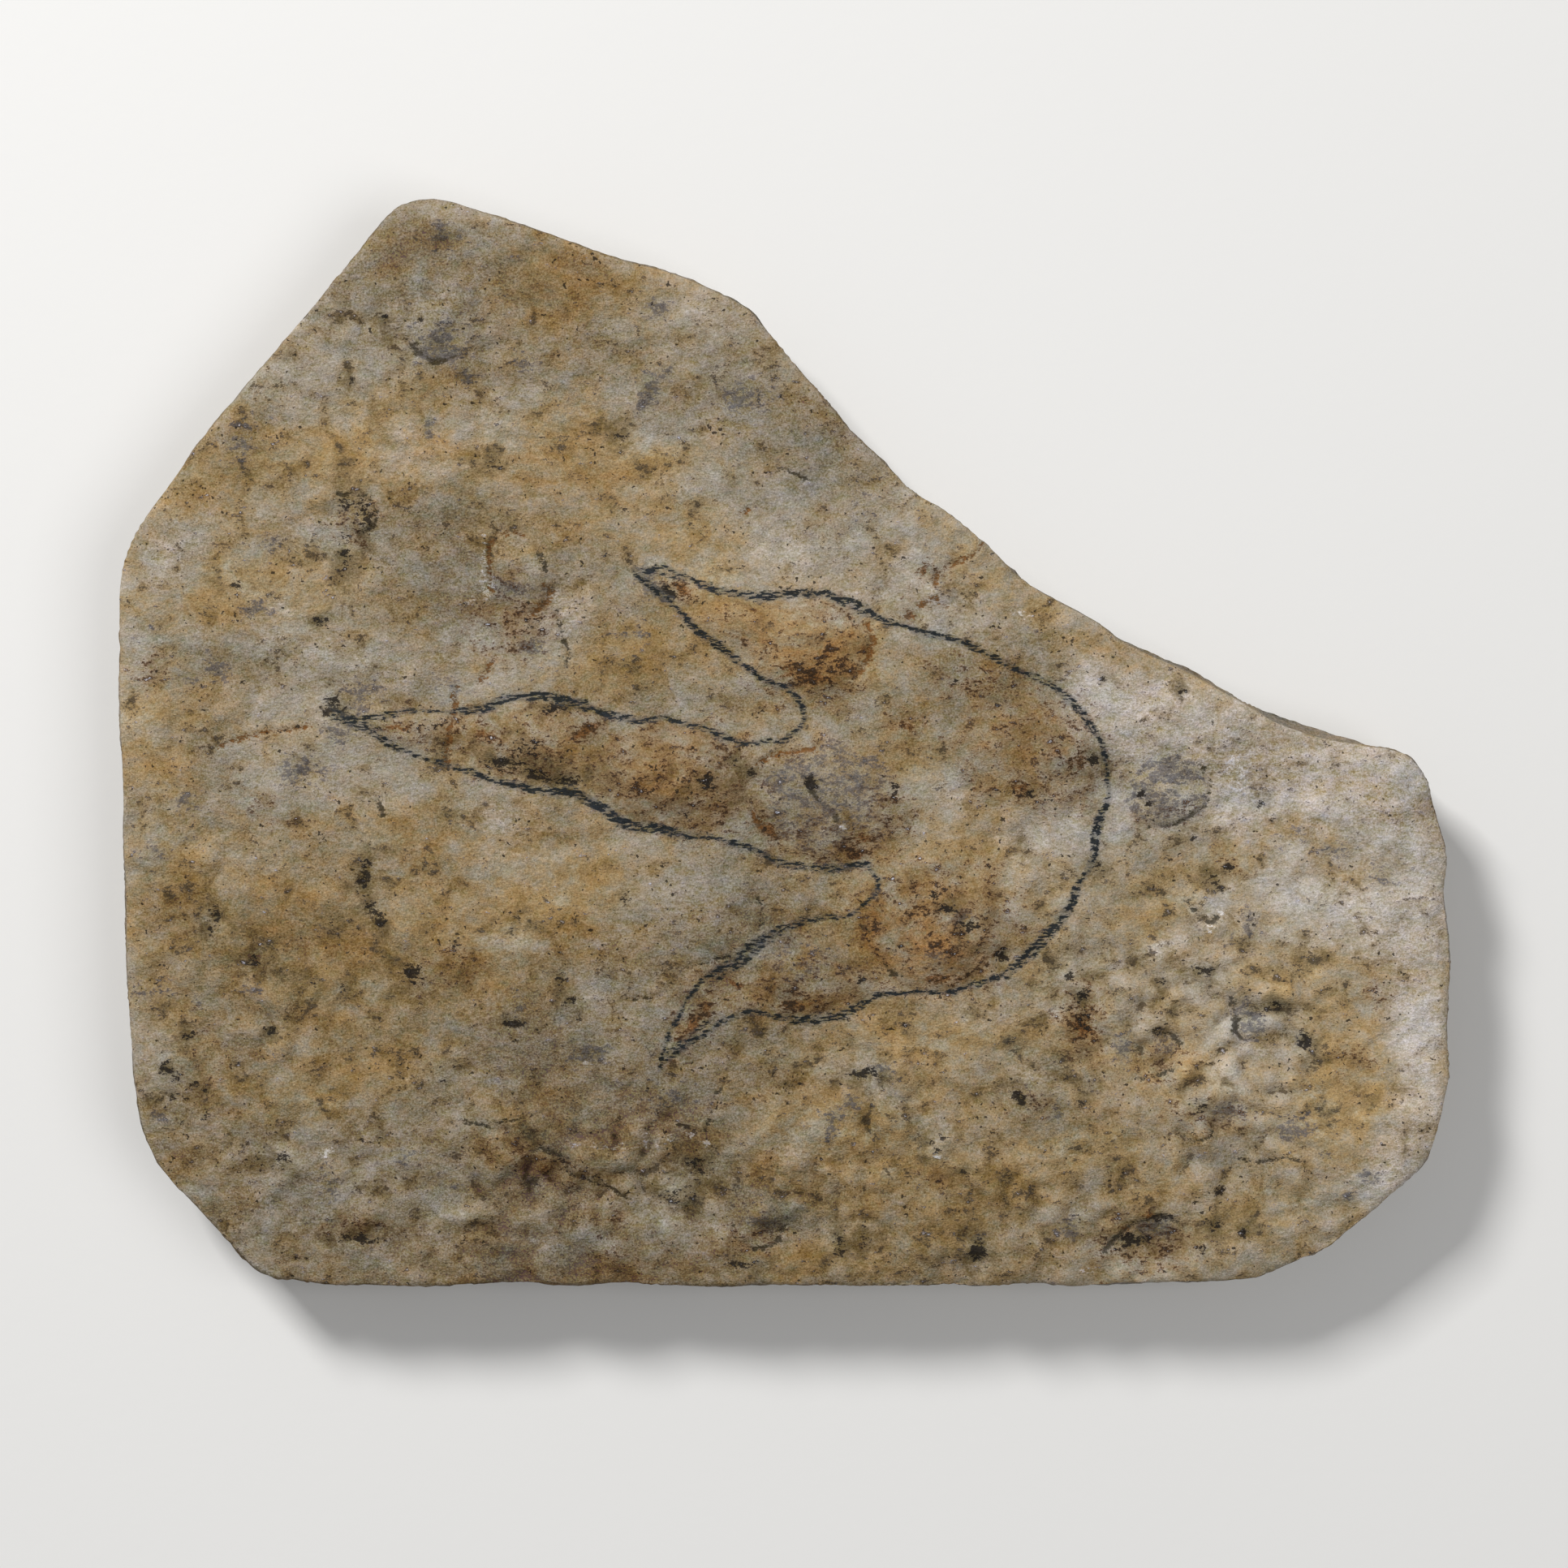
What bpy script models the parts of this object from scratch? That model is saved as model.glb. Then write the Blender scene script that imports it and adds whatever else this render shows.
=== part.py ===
"""A trimmed slab of fine sandstone that carries the raised cast of a three-toed dinosaur footprint.

The slab lies on its flat back with the footprint up. The origin is the middle of the slab's base.
+X runs from the tip of the middle toe to the heel, +Z points up out of the footprint. Units are metres.
"""
import math
import random

import bmesh
import bpy
import numpy as np
from mathutils import Vector, noise
from mathutils.geometry import delaunay_2d_cdt

MM = 0.001

# Driving dimensions
THICKNESS = 18.0 * MM
PERIMETER_STEP = 3.6 * MM
FINE_SPACING = 2.65 * MM
COARSE_SPACING = 4.7 * MM
POINT_JITTER = 0.22
EDGE_CLEARANCE = 0.55
HEXAGON_ROW = math.sqrt(0.75)
CURVE_SAMPLES = 12
SAME_PLACE = 1e-6
SEED = 11

# The shape of a pad, lump or pit: full out to the first share of its size, gone at the second
OVAL_TOP = 0.25
OVAL_RIM = 1.18

# Pads, lumps and pits are pushed out of true, so that their outlines look grown and not drawn
DRIFT_WAVELENGTH = 9.0 * MM
DRIFT = 1.3 * MM

# Small facets reach this far round the track, and cover each oval down to this share of its height
DETAIL_MARGIN = 2.5 * MM
DETAIL_SHARE = 0.02

# The slab's edge seen from above, in millimetres, clockwise from the cut lower left corner
OUTLINE_MM = (
    (-107.6, -84.9), (-112.1, -80.0), (-115.5, -75.0), (-117.5, -69.8), (-118.9, -60.0), (-119.9, -42.0),
    (-120.7, -15.0), (-121.6, 14.0), (-121.7, 25.0), (-121.2, 31.0), (-120.0, 35.2), (-117.6, 40.1),
    (-106.8, 55.0), (-90.7, 75.0), (-77.8, 90.0), (-73.6, 95.0), (-71.4, 97.6), (-67.5, 99.2),
    (-64.0, 99.6), (-60.0, 99.0), (-50.0, 95.6), (-40.0, 92.4), (-30.0, 88.7), (-20.0, 86.2),
    (-10.0, 82.1), (-6.2, 80.1), (-3.0, 76.3), (5.0, 66.3), (10.0, 60.7), (13.0, 57.1), (20.0, 50.4),
    (23.8, 46.3), (30.0, 42.7), (40.0, 34.4), (42.7, 31.6), (48.0, 27.7), (57.0, 22.9),
    (60.5, 20.3), (73.0, 15.0), (85.0, 8.6), (90.0, 5.9), (100.0, 2.4), (107.5, 0.5),
    (111.0, -0.2), (114.1, -1.8), (116.1, -4.3), (117.9, -8.0), (118.7, -12.0), (121.3, -21.0),
    (120.5, -27.0), (121.2, -36.0), (121.5, -43.5), (121.2, -51.0), (121.7, -60.0), (120.8, -65.4),
    (119.8, -70.2), (118.0, -75.0), (114.9, -79.0), (102.5, -89.6), (97.6, -93.2), (91.0, -95.8),
    (87.2, -97.4), (83.5, -98.1), (60.0, -99.0), (52.0, -99.3), (45.0, -98.8), (38.0, -99.3),
    (28.0, -99.0), (18.0, -99.6), (-5.0, -99.1), (-15.0, -99.6), (-28.5, -98.8), (-38.0, -99.5),
    (-48.0, -98.8), (-58.0, -99.4), (-66.0, -99.6), (-75.0, -99.1), (-83.0, -99.5), (-89.0, -98.4),
    (-93.0, -98.3), (-96.4, -96.6),
)

# Side rows: depth below the face, inset from the outline, and how far the broken beds wander, in millimetres
SIDE_ROWS_MM = (
    (0.35, 1.6, 0.4),
    (1.5, 0.35, 0.45),
    (5.2, 0.15, 0.6),
    (9.4, 0.75, 0.9),
    (13.6, 0.45, 0.9),
    (16.8, 1.2, 0.6),
    (18.0, 2.5, 0.7),
)
BED_WAVELENGTH = 21.0 * MM
BED_LAYER_STEP = 5.3
BED_TILT = 0.5

# Rows above this depth follow the relief of the face and its chips
EDGE_DEPTH = 4.0 * MM

# The upper right side leans outwards, so its lower beds show from above
LEAN_START = Vector((58.0 * MM, 21.5 * MM))
LEAN_END = Vector((112.0 * MM, -0.6 * MM))
LEAN = 1.5 * MM
LEAN_TOP = 0.5 * MM
LEAN_DEPTH = 4.0 * MM
LEAN_REACH = 4.0 * MM
LEAN_FULLNESS = 0.7

# Chips out of the top edge: centre x, centre y, radius and depth, in millimetres
CHIP_CORE = 0.3
EDGE_CHIPS_MM = (
    (-48.0, -99.0, 4.0, 1.0),
    (-28.5, -99.0, 3.5, 0.9),
    (31.0, -97.0, 5.0, 1.5),
    (46.0, -99.0, 5.0, 1.2),
    (57.0, -97.0, 5.0, 1.6),
    (-90.0, -98.5, 4.0, 1.0),
    (42.5, 31.5, 4.5, 1.3),
    (13.0, 57.0, 3.0, 0.8),
    (119.0, -12.5, 3.5, 0.9),
    (-112.0, 44.0, 3.5, 0.7),
)

# Toes of the cast as low ridges: from x, y to x, y, with the half width at each end, in millimetres
TOE_RIDGES_MM = {
    "middle_toe": (-77.0, 4.0, 22.0, -7.0, 1.2, 13.0),
    "upper_toe": (-24.5, 30.6, 34.0, 7.0, 1.2, 11.5),
    "lower_toe": (-21.0, -56.0, 32.0, -28.0, 1.2, 13.5),
    "heel": (12.0, -9.0, 44.0, -3.0, 12.0, 12.0),
}
TOE_RIDGE_HEIGHT = 0.75 * MM
TOE_RIDGE_INNER = 3.0 * MM
TOE_RIDGE_OUTER = 1.2 * MM

# Pads and claws of the cast: centre x, centre y, half length, half width in millimetres,
# turn in degrees and height in millimetres
PADS_MM = {
    "middle_toe_claw": (-66.0, 2.5, 13.0, 2.7, -6.0, 0.9),
    "middle_toe_tip_pad": (-44.5, 0.6, 12.5, 8.0, -6.0, 1.6),
    "middle_toe_base_pad": (-20.5, -5.9, 13.2, 9.6, -12.0, 1.8),
    "sole_pad": (8.8, -10.5, 12.8, 10.8, -10.0, 1.8),
    "upper_toe_claw": (-20.3, 28.2, 7.0, 2.6, -29.0, 0.9),
    "upper_toe_tip_pad": (-9.5, 21.5, 7.5, 5.0, -28.0, 1.1),
    "upper_toe_base_pad": (3.4, 18.0, 11.6, 8.4, -4.0, 1.8),
    "upper_toe_root": (29.0, 10.5, 11.0, 6.8, -22.0, 1.1),
    "heel_pad": (43.5, -1.5, 14.0, 10.8, -18.0, 1.7),
    "lower_toe_base_pad": (27.5, -34.5, 12.6, 9.6, 6.0, 1.8),
    "lower_toe_tip_pad": (3.0, -42.3, 13.0, 6.8, 4.0, 1.5),
    "lower_toe_claw": (-15.8, -50.0, 8.5, 3.0, 50.0, 0.9),
}

# Lumps (up) and pits (down) of the bed round the track, given as the pads are
LUMPS_MM = {
    "scratched_lump": (-48.8, 30.5, 8.6, 8.0, 0.0, 1.7),
    "lump_behind_heel": (69.0, -9.0, 9.4, 6.6, -10.0, 1.6),
    "upper_left_lump": (-61.5, 75.5, 8.0, 6.2, -20.0, 1.3),
    "pitted_lump": (-77.8, 42.0, 5.2, 4.4, 30.0, 0.9),
    "tilted_lump": (-24.5, 64.0, 6.4, 3.4, 65.0, 0.8),
    "pale_dome": (77.0, -63.5, 9.0, 5.6, 15.0, 1.5),
    "lower_right_lump": (44.5, -62.5, 5.0, 4.4, -30.0, 1.2),
    "lower_ridge": (-50.0, -71.0, 13.5, 5.4, -14.0, 1.4),
    "lower_ridge_end": (-34.0, -76.5, 8.5, 4.6, -24.0, 1.2),
    "bottom_lump": (-77.0, -85.5, 5.2, 3.6, 0.0, 1.1),
    "small_bottom_lump": (-83.0, -77.5, 3.4, 5.0, 12.0, 1.0),
    "centre_bottom_lump": (-5.0, -87.5, 5.4, 4.0, 0.0, 0.9),
    "bead": (-48.6, -47.6, 3.0, 3.6, 0.0, 0.9),
    "violet_lump": (92.5, -70.0, 5.4, 3.4, -8.0, 0.7),
    "broken_corner": (64.5, -90.3, 9.0, 4.8, -5.0, -2.1),
    "oval_pit": (69.0, -55.8, 4.2, 5.2, -20.0, -1.3),
    "side_pit": (61.0, -55.6, 2.2, 3.2, 20.0, -0.9),
    "long_pit": (83.5, -50.0, 3.2, 5.0, 25.0, -1.0),
    "flake_scar": (-19.5, -64.5, 8.4, 5.8, -6.0, -0.6),
    "left_pit": (-115.2, 13.0, 3.2, 2.8, 0.0, -0.7),
    "toe_side_hollow": (-4.0, 5.5, 6.5, 3.6, -10.0, -0.5),
}

# Gentle waves of the bedding face: wavelength and height
WAVES = ((78.0 * MM, 0.9 * MM), (27.0 * MM, 0.42 * MM), (9.5 * MM, 0.16 * MM))

STONE_COLOUR = (0.36, 0.29, 0.20, 1.0)
STONE_ROUGHNESS = 0.92


def smooth_step(low, high, value):
    """0 below low, 1 above high, smooth between."""
    share = min(max((value - low) / (high - low), 0.0), 1.0)
    return share * share * (3.0 - 2.0 * share)


def curve_point(before, start, end, after, share):
    """A point on the smooth curve through four outline points, between the middle two."""
    square = share * share
    cube = square * share
    return 0.5 * (2.0 * start + (end - before) * share
                  + (2.0 * before - 5.0 * start + 4.0 * end - after) * square
                  + (3.0 * start - before - 3.0 * end + after) * cube)


def slab_outline():
    """The edge as points at equal steps along a closed smooth curve, counter-clockwise from above."""
    corners = [Vector(corner) * MM for corner in reversed(OUTLINE_MM)]
    count = len(corners)
    dense = [curve_point(corners[i - 1], corners[i], corners[(i + 1) % count], corners[(i + 2) % count],
                         sample / CURVE_SAMPLES)
             for i in range(count) for sample in range(CURVE_SAMPLES)]
    closed = np.array([tuple(point) for point in dense + dense[:1]])
    travelled = np.concatenate(([0.0], np.cumsum(np.linalg.norm(np.diff(closed, axis=0), axis=1))))
    steps = round(travelled[-1] / PERIMETER_STEP)
    stations = np.linspace(0.0, travelled[-1], steps, endpoint=False)
    xs = np.interp(stations, travelled, closed[:, 0])
    ys = np.interp(stations, travelled, closed[:, 1])
    return [Vector(place) for place in zip(xs, ys)]


def outward_normals(outline):
    """Outward directions along the edge, eased over the neighbouring points."""
    count = len(outline)
    normals = []
    for i in range(count):
        along = outline[(i + 2) % count] - outline[i - 2]
        normals.append(Vector((along.y, -along.x)).normalized())
    return normals


def drifted(point):
    """A point pushed a little by smooth noise."""
    return point + DRIFT * noise.noise_vector(Vector((point.x, point.y, 0.0)) / DRIFT_WAVELENGTH).xy


def oval_rise(point, oval):
    """Height of one pad, lump or pit at a point: full in its middle and eased out at its rim."""
    x, y, half_length, half_width, turn, height = oval
    angle = math.radians(turn)
    dx = point.x - x * MM
    dy = point.y - y * MM
    along = (dx * math.cos(angle) + dy * math.sin(angle)) / (half_length * MM)
    across = (dy * math.cos(angle) - dx * math.sin(angle)) / (half_width * MM)
    return height * MM * (1.0 - smooth_step(OVAL_TOP, OVAL_RIM, math.hypot(along, across)))


def ridge_gap(point, ridge):
    """Distance from a point to the side of a tapered toe ridge, negative inside it."""
    start = Vector(ridge[0:2]) * MM
    run = Vector(ridge[2:4]) * MM - start
    share = min(max((point - start).dot(run) / run.length_squared, 0.0), 1.0)
    half_width = (ridge[4] + (ridge[5] - ridge[4]) * share) * MM
    return (point - start - run * share).length - half_width


def toe_gap(point):
    """Distance from a point to the nearest side of the whole track."""
    return min(ridge_gap(point, ridge) for ridge in TOE_RIDGES_MM.values())


def wave(point, wavelength, height):
    """Smooth natural unevenness of the bedding face."""
    return height * noise.noise(Vector((point.x / wavelength, point.y / wavelength, wavelength / MM)))


def face_relief(point):
    """Height of the footprint face over the slab's nominal thickness."""
    rise = TOE_RIDGE_HEIGHT * (1.0 - smooth_step(-TOE_RIDGE_INNER, TOE_RIDGE_OUTER, toe_gap(point)))
    loose = drifted(point)
    rise += max(oval_rise(loose, pad) for pad in PADS_MM.values())
    rise += sum(oval_rise(loose, lump) for lump in LUMPS_MM.values())
    rise += sum(wave(point, wavelength, height) for wavelength, height in WAVES)
    return rise


def edge_chip(point):
    """How much is broken off the top edge at a point."""
    loss = 0.0
    for x, y, radius, depth in EDGE_CHIPS_MM:
        distance = math.hypot(point.x - x * MM, point.y - y * MM)
        loss = max(loss, depth * MM * (1.0 - smooth_step(CHIP_CORE, 1.0, distance / (radius * MM))))
    return loss


def lean_at(point):
    """How far the top of the side stands back where the side leans outwards."""
    run = LEAN_END - LEAN_START
    share = (point - LEAN_START).dot(run) / run.length_squared
    if not 0.0 < share < 1.0 or (point - LEAN_START - run * share).length > LEAN_REACH:
        return 0.0
    return LEAN * math.sin(math.pi * share) ** LEAN_FULLNESS


def side_ring(outline, normals, row, row_number):
    """One ring of points round the slab, at its own depth and inset."""
    depth, inset, wander = (value * MM for value in row)
    ring = []
    for point, normal in zip(outline, normals):
        layer = BED_LAYER_STEP * row_number
        swing = noise.noise(Vector((point.x / BED_WAVELENGTH, point.y / BED_WAVELENGTH, layer)))
        stand_back = lean_at(point) * (1.0 - smooth_step(LEAN_TOP, LEAN_TOP + LEAN_DEPTH, depth))
        place = point - normal * max(inset + wander * swing, 0.0) - normal * stand_back
        height = THICKNESS - depth
        if depth < EDGE_DEPTH:
            height += face_relief(place) - edge_chip(point) * (1.0 - depth / EDGE_DEPTH)
        elif depth < THICKNESS:
            height += BED_TILT * wander * swing
        ring.append(Vector((place.x, place.y, height)))
    return ring


def hexagonal_grid(spacing, shuffle):
    """Slightly uneven points over the slab's whole rectangle."""
    half_x = max(abs(x) for x, _ in OUTLINE_MM) * MM
    half_y = max(abs(y) for _, y in OUTLINE_MM) * MM
    row_pitch = spacing * HEXAGON_ROW
    points = []
    for row in range(int(2.0 * half_y / row_pitch) + 1):
        for column in range(int(2.0 * half_x / spacing) + 1):
            x = -half_x + (column + 0.5 * (row % 2) + shuffle.uniform(-POINT_JITTER, POINT_JITTER)) * spacing
            y = -half_y + row * row_pitch + shuffle.uniform(-POINT_JITTER, POINT_JITTER) * spacing
            points.append(Vector((x, y)))
    return points


def in_detail_zone(point):
    """True over the track and over the lumps and pits, where the face needs small facets."""
    if toe_gap(point) < DETAIL_MARGIN:
        return True
    loose = drifted(point)
    ovals = list(PADS_MM.values()) + list(LUMPS_MM.values())
    return any(oval_rise(loose, oval[:5] + (1.0,)) > DETAIL_SHARE * MM for oval in ovals)


def inside_with_clearance(points, polygon, clearance):
    """The points that lie inside a polygon and keep a distance from it."""
    places = np.array([tuple(point) for point in points])
    corners = np.array([tuple(point) for point in polygon])
    inside = np.zeros(len(places), dtype=bool)
    nearest = np.full(len(places), np.inf)
    for start, end in zip(corners, np.roll(corners, -1, axis=0)):
        run = end - start
        share = np.clip(((places - start) @ run) / (run @ run), 0.0, 1.0)
        nearest = np.minimum(nearest, np.linalg.norm(places - start - share[:, None] * run, axis=1))
        crosses = (start[1] > places[:, 1]) != (end[1] > places[:, 1])
        if start[1] != end[1]:
            crossing_x = start[0] + (places[:, 1] - start[1]) * run[0] / run[1]
            inside ^= crosses & (places[:, 0] < crossing_x)
    keep = inside & (nearest > clearance)
    return [point for point, kept in zip(points, keep) if kept]


def face_points(rim):
    """Points inside the rim: close together over the track, lumps and pits, wider elsewhere."""
    shuffle = random.Random(SEED)
    fine = [point for point in hexagonal_grid(FINE_SPACING, shuffle) if in_detail_zone(point)]
    coarse = [point for point in hexagonal_grid(COARSE_SPACING, shuffle) if not in_detail_zone(point)]
    polygon = [point.xy for point in rim]
    return inside_with_clearance(fine + coarse, polygon, EDGE_CLEARANCE * COARSE_SPACING)


def build_slab():
    """The closed slab: relief face, stepped broken sides and flat back."""
    outline = slab_outline()
    normals = outward_normals(outline)
    count = len(outline)
    mesh = bmesh.new()
    rings = [[mesh.verts.new(point) for point in side_ring(outline, normals, row, number)]
             for number, row in enumerate(SIDE_ROWS_MM)]
    for upper, lower in zip(rings, rings[1:]):
        for i in range(count):
            j = (i + 1) % count
            mesh.faces.new((upper[i], lower[i], lower[j], upper[j]))
    mesh.faces.new(list(reversed(rings[-1])))

    rim = [vertex.co.copy() for vertex in rings[0]]
    inner = face_points(rim)
    flat_points = [point.xy / MM for point in rim] + [point / MM for point in inner]
    rim_edges = [(i, (i + 1) % count) for i in range(count)]
    _, _, triangles, sources, _, _ = delaunay_2d_cdt(flat_points, rim_edges, [], 1, SAME_PLACE)
    face_vertices = rings[0] + [mesh.verts.new((p.x, p.y, THICKNESS + face_relief(p))) for p in inner]
    for triangle in triangles:
        mesh.faces.new([face_vertices[sources[corner][0]] for corner in triangle])

    bmesh.ops.triangulate(mesh, faces=mesh.faces[:])
    bmesh.ops.recalc_face_normals(mesh, faces=mesh.faces[:])
    return mesh


def centre_on_base(mesh):
    """Puts the origin in the middle of the slab's rectangle, at its back."""
    places = np.array([tuple(vertex.co) for vertex in mesh.verts])
    middle = (places.min(axis=0) + places.max(axis=0)) / 2.0
    bmesh.ops.translate(mesh, verts=mesh.verts[:], vec=(-middle[0], -middle[1], 0.0))


def stone_material():
    """Plain tan sandstone."""
    material = bpy.data.materials.new("sandstone")
    material.use_nodes = True
    shader = material.node_tree.nodes["Principled BSDF"]
    shader.inputs["Base Color"].default_value = STONE_COLOUR
    shader.inputs["Roughness"].default_value = STONE_ROUGHNESS
    shader.inputs["Metallic"].default_value = 0.0
    return material


def main():
    for leftover in list(bpy.data.objects):
        bpy.data.objects.remove(leftover)
    mesh = bpy.data.meshes.new("footprint_slab")
    shape = build_slab()
    centre_on_base(shape)
    shape.to_mesh(mesh)
    shape.free()
    mesh.materials.append(stone_material())
    slab = bpy.data.objects.new("footprint_slab", mesh)
    bpy.context.collection.objects.link(slab)


main()
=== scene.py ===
"""A trimmed slab of fine sandstone, lying face up, with the raised cast of a three-toed footprint."""

import math
import random
from typing import NamedTuple

import bpy
import numpy as np
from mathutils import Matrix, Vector, noise
from mathutils.geometry import delaunay_2d_cdt


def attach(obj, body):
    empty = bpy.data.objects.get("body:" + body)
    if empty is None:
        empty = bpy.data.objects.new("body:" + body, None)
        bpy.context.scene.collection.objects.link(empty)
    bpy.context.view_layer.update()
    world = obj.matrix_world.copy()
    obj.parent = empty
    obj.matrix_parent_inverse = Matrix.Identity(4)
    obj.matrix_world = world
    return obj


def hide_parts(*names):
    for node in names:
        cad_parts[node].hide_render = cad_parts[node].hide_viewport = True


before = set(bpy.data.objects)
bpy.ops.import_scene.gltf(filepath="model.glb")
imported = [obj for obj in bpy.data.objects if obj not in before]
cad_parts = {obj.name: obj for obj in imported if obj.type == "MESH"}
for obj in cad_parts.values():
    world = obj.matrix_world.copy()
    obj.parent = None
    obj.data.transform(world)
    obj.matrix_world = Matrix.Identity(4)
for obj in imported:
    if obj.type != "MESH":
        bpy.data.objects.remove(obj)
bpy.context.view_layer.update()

MM = 0.001

# What is drawn on the face is in millimetres from the middle of the slab

# Wax crayon line round the track, closed: x, y
CRAYON_MM = (
    (-27, 31.5), (-25, 31.4), (-23, 31.8), (-21.5, 31.9), (-20, 31), (-18, 30.2), (-16, 29.3), (-14, 28.5),
    (-12, 27.6), (-10, 27.3), (-8, 27.1), (-5, 26.5), (-2, 26.8), (0, 27.2), (5, 27.3), (7, 27.2),
    (10, 26.2), (12, 25.7), (14, 24.8), (17, 22.9), (20, 21.6), (22, 21.3), (25, 20.2), (29, 19.2),
    (33, 18.1), (35, 17.1), (38, 15.4), (41, 14.2), (45, 12.2), (48, 10.8), (51.5, 8.2), (54, 5.5),
    (56, 2.5), (57.8, -0.5), (58.4, -4), (58.8, -8), (58.6, -10), (57.2, -13.3), (56.3, -16.5), (56.3, -20),
    (55, -23), (53.3, -25.5), (52.3, -28.5), (50.8, -31), (48, -34), (45, -36.8), (42.5, -39.6),
    (39.5, -41.8), (36.5, -43.1), (33.5, -43.9), (31, -45), (25, -45.1), (20, -45.3), (17, -45.4),
    (14, -47.2), (10, -49.2), (6, -49.9), (2, -50), (-2, -49.3), (-5, -48.5), (-9, -49.2), (-12.5, -51.2),
    (-16, -53.3), (-19.5, -55.7), (-22, -58), (-22.5, -58.6), (-21.8, -55.5), (-20.7, -52), (-19, -49.2),
    (-17.5, -46), (-15, -43), (-12, -40.8), (-9, -39.5), (-6.5, -37), (-3.5, -35), (0, -33.3), (3, -32.2),
    (7, -31.5), (11, -31.5), (13.5, -30), (16.3, -27.2), (17, -25), (16, -23.3), (15, -21.8), (12.5, -22.3),
    (8, -22.8), (4, -22.4), (0, -21.9), (-3, -20.7), (-6, -18.9), (-9, -18), (-13, -16.9), (-17, -16.8),
    (-20, -16.1), (-24, -15.1), (-27, -15.2), (-29.5, -14.2), (-32, -12.4), (-35, -10.6), (-38, -8.8),
    (-42, -8.6), (-46, -8.1), (-50, -7.4), (-53.5, -6.4), (-57, -4.9), (-62, -3.8), (-66, -2.3),
    (-70, -0.7), (-73.5, 1.2), (-76.5, 3.1), (-79.5, 4), (-81.7, 4.8), (-79, 4.6), (-75, 4.5), (-71.5, 5.2),
    (-68.5, 6), (-65, 5.9), (-61, 5.7), (-57.5, 6), (-54, 6.6), (-51, 8), (-48, 8.5), (-44, 8.9),
    (-40, 8.1), (-37, 7.2), (-33, 5.6), (-30, 4.8), (-26, 4.2), (-22, 4.8), (-19, 3.8), (-15, 3.1),
    (-12, 1.7), (-8, 0.3), (-4, 0.1), (-0.5, 0.7), (1, 1.5), (2.8, 3), (3.8, 4.8), (3.4, 6.5), (2.3, 8.4),
    (0.5, 10), (-3, 11.4), (-6, 13.2), (-9, 15.4), (-12, 18.1), (-14.5, 19.6), (-17, 21.7), (-19, 24),
    (-21, 26.1), (-24.5, 28.7), (-26.3, 30.6),
)
CRAYON_LOOP = np.array(CRAYON_MM + CRAYON_MM[:1])

# Second strokes of the crayon beside the line: x, y
CRAYON_RETOUCHES_MM = (
    ((-13.5, -43.6), (-10.5, -41.6), (-7.5, -39.6), (-4.5, -37), (-2, -35.6)),
    ((-22, -56.8), (-19, -54.2), (-16.2, -52), (-13.4, -50)),
    ((-82.3, 6.6), (-80.6, 5.6), (-78.6, 4.9), (-76, 4), (-73, 2.4)),
    ((-47, 8), (-43, 8.3), (-39.5, 7.4), (-36.5, 6.3)),
    ((-26, 30.6), (-22.5, 30.9), (-19, 29.9)),
    ((8, 26.2), (12, 24.9), (15, 23.4)),
    ((40, -42.4), (44.5, -38.9), (48.5, -34.8), (51, -31.8)),
)

# Where the crayon was pressed harder (above 0) or lighter (below 0): x, y, radius, change
CRAYON_PRESSURE_MM = (
    (-43, 8.4, 9, 0.35), (-50, -7, 10, 0.35), (-34, -11, 9, 0.35), (-22, -15.8, 7, 0.25), (15, 24, 6, 0.35),
    (33, 18, 5, 0.35), (47, -35.5, 9, 0.4), (56.5, -14, 5, 0.25), (-7, -37.5, 6, 0.35), (-12, 18, 7, 0.15),
    (10, -31.6, 7, -0.25), (46.5, 11.5, 5, -0.5), (-66, 5.9, 10, -0.4), (-3, 0.4, 5, -0.2),
    (56, 2, 4, -0.25), (27, -45, 6, -0.1), (-15, -43.5, 8, 0.05),
)
USUAL_PRESSURE = 0.46
PRESSURE_SWING = 0.6

# From here on, ovals: x, y, half length, half width, strength, and a turn in degrees where there is one

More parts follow.
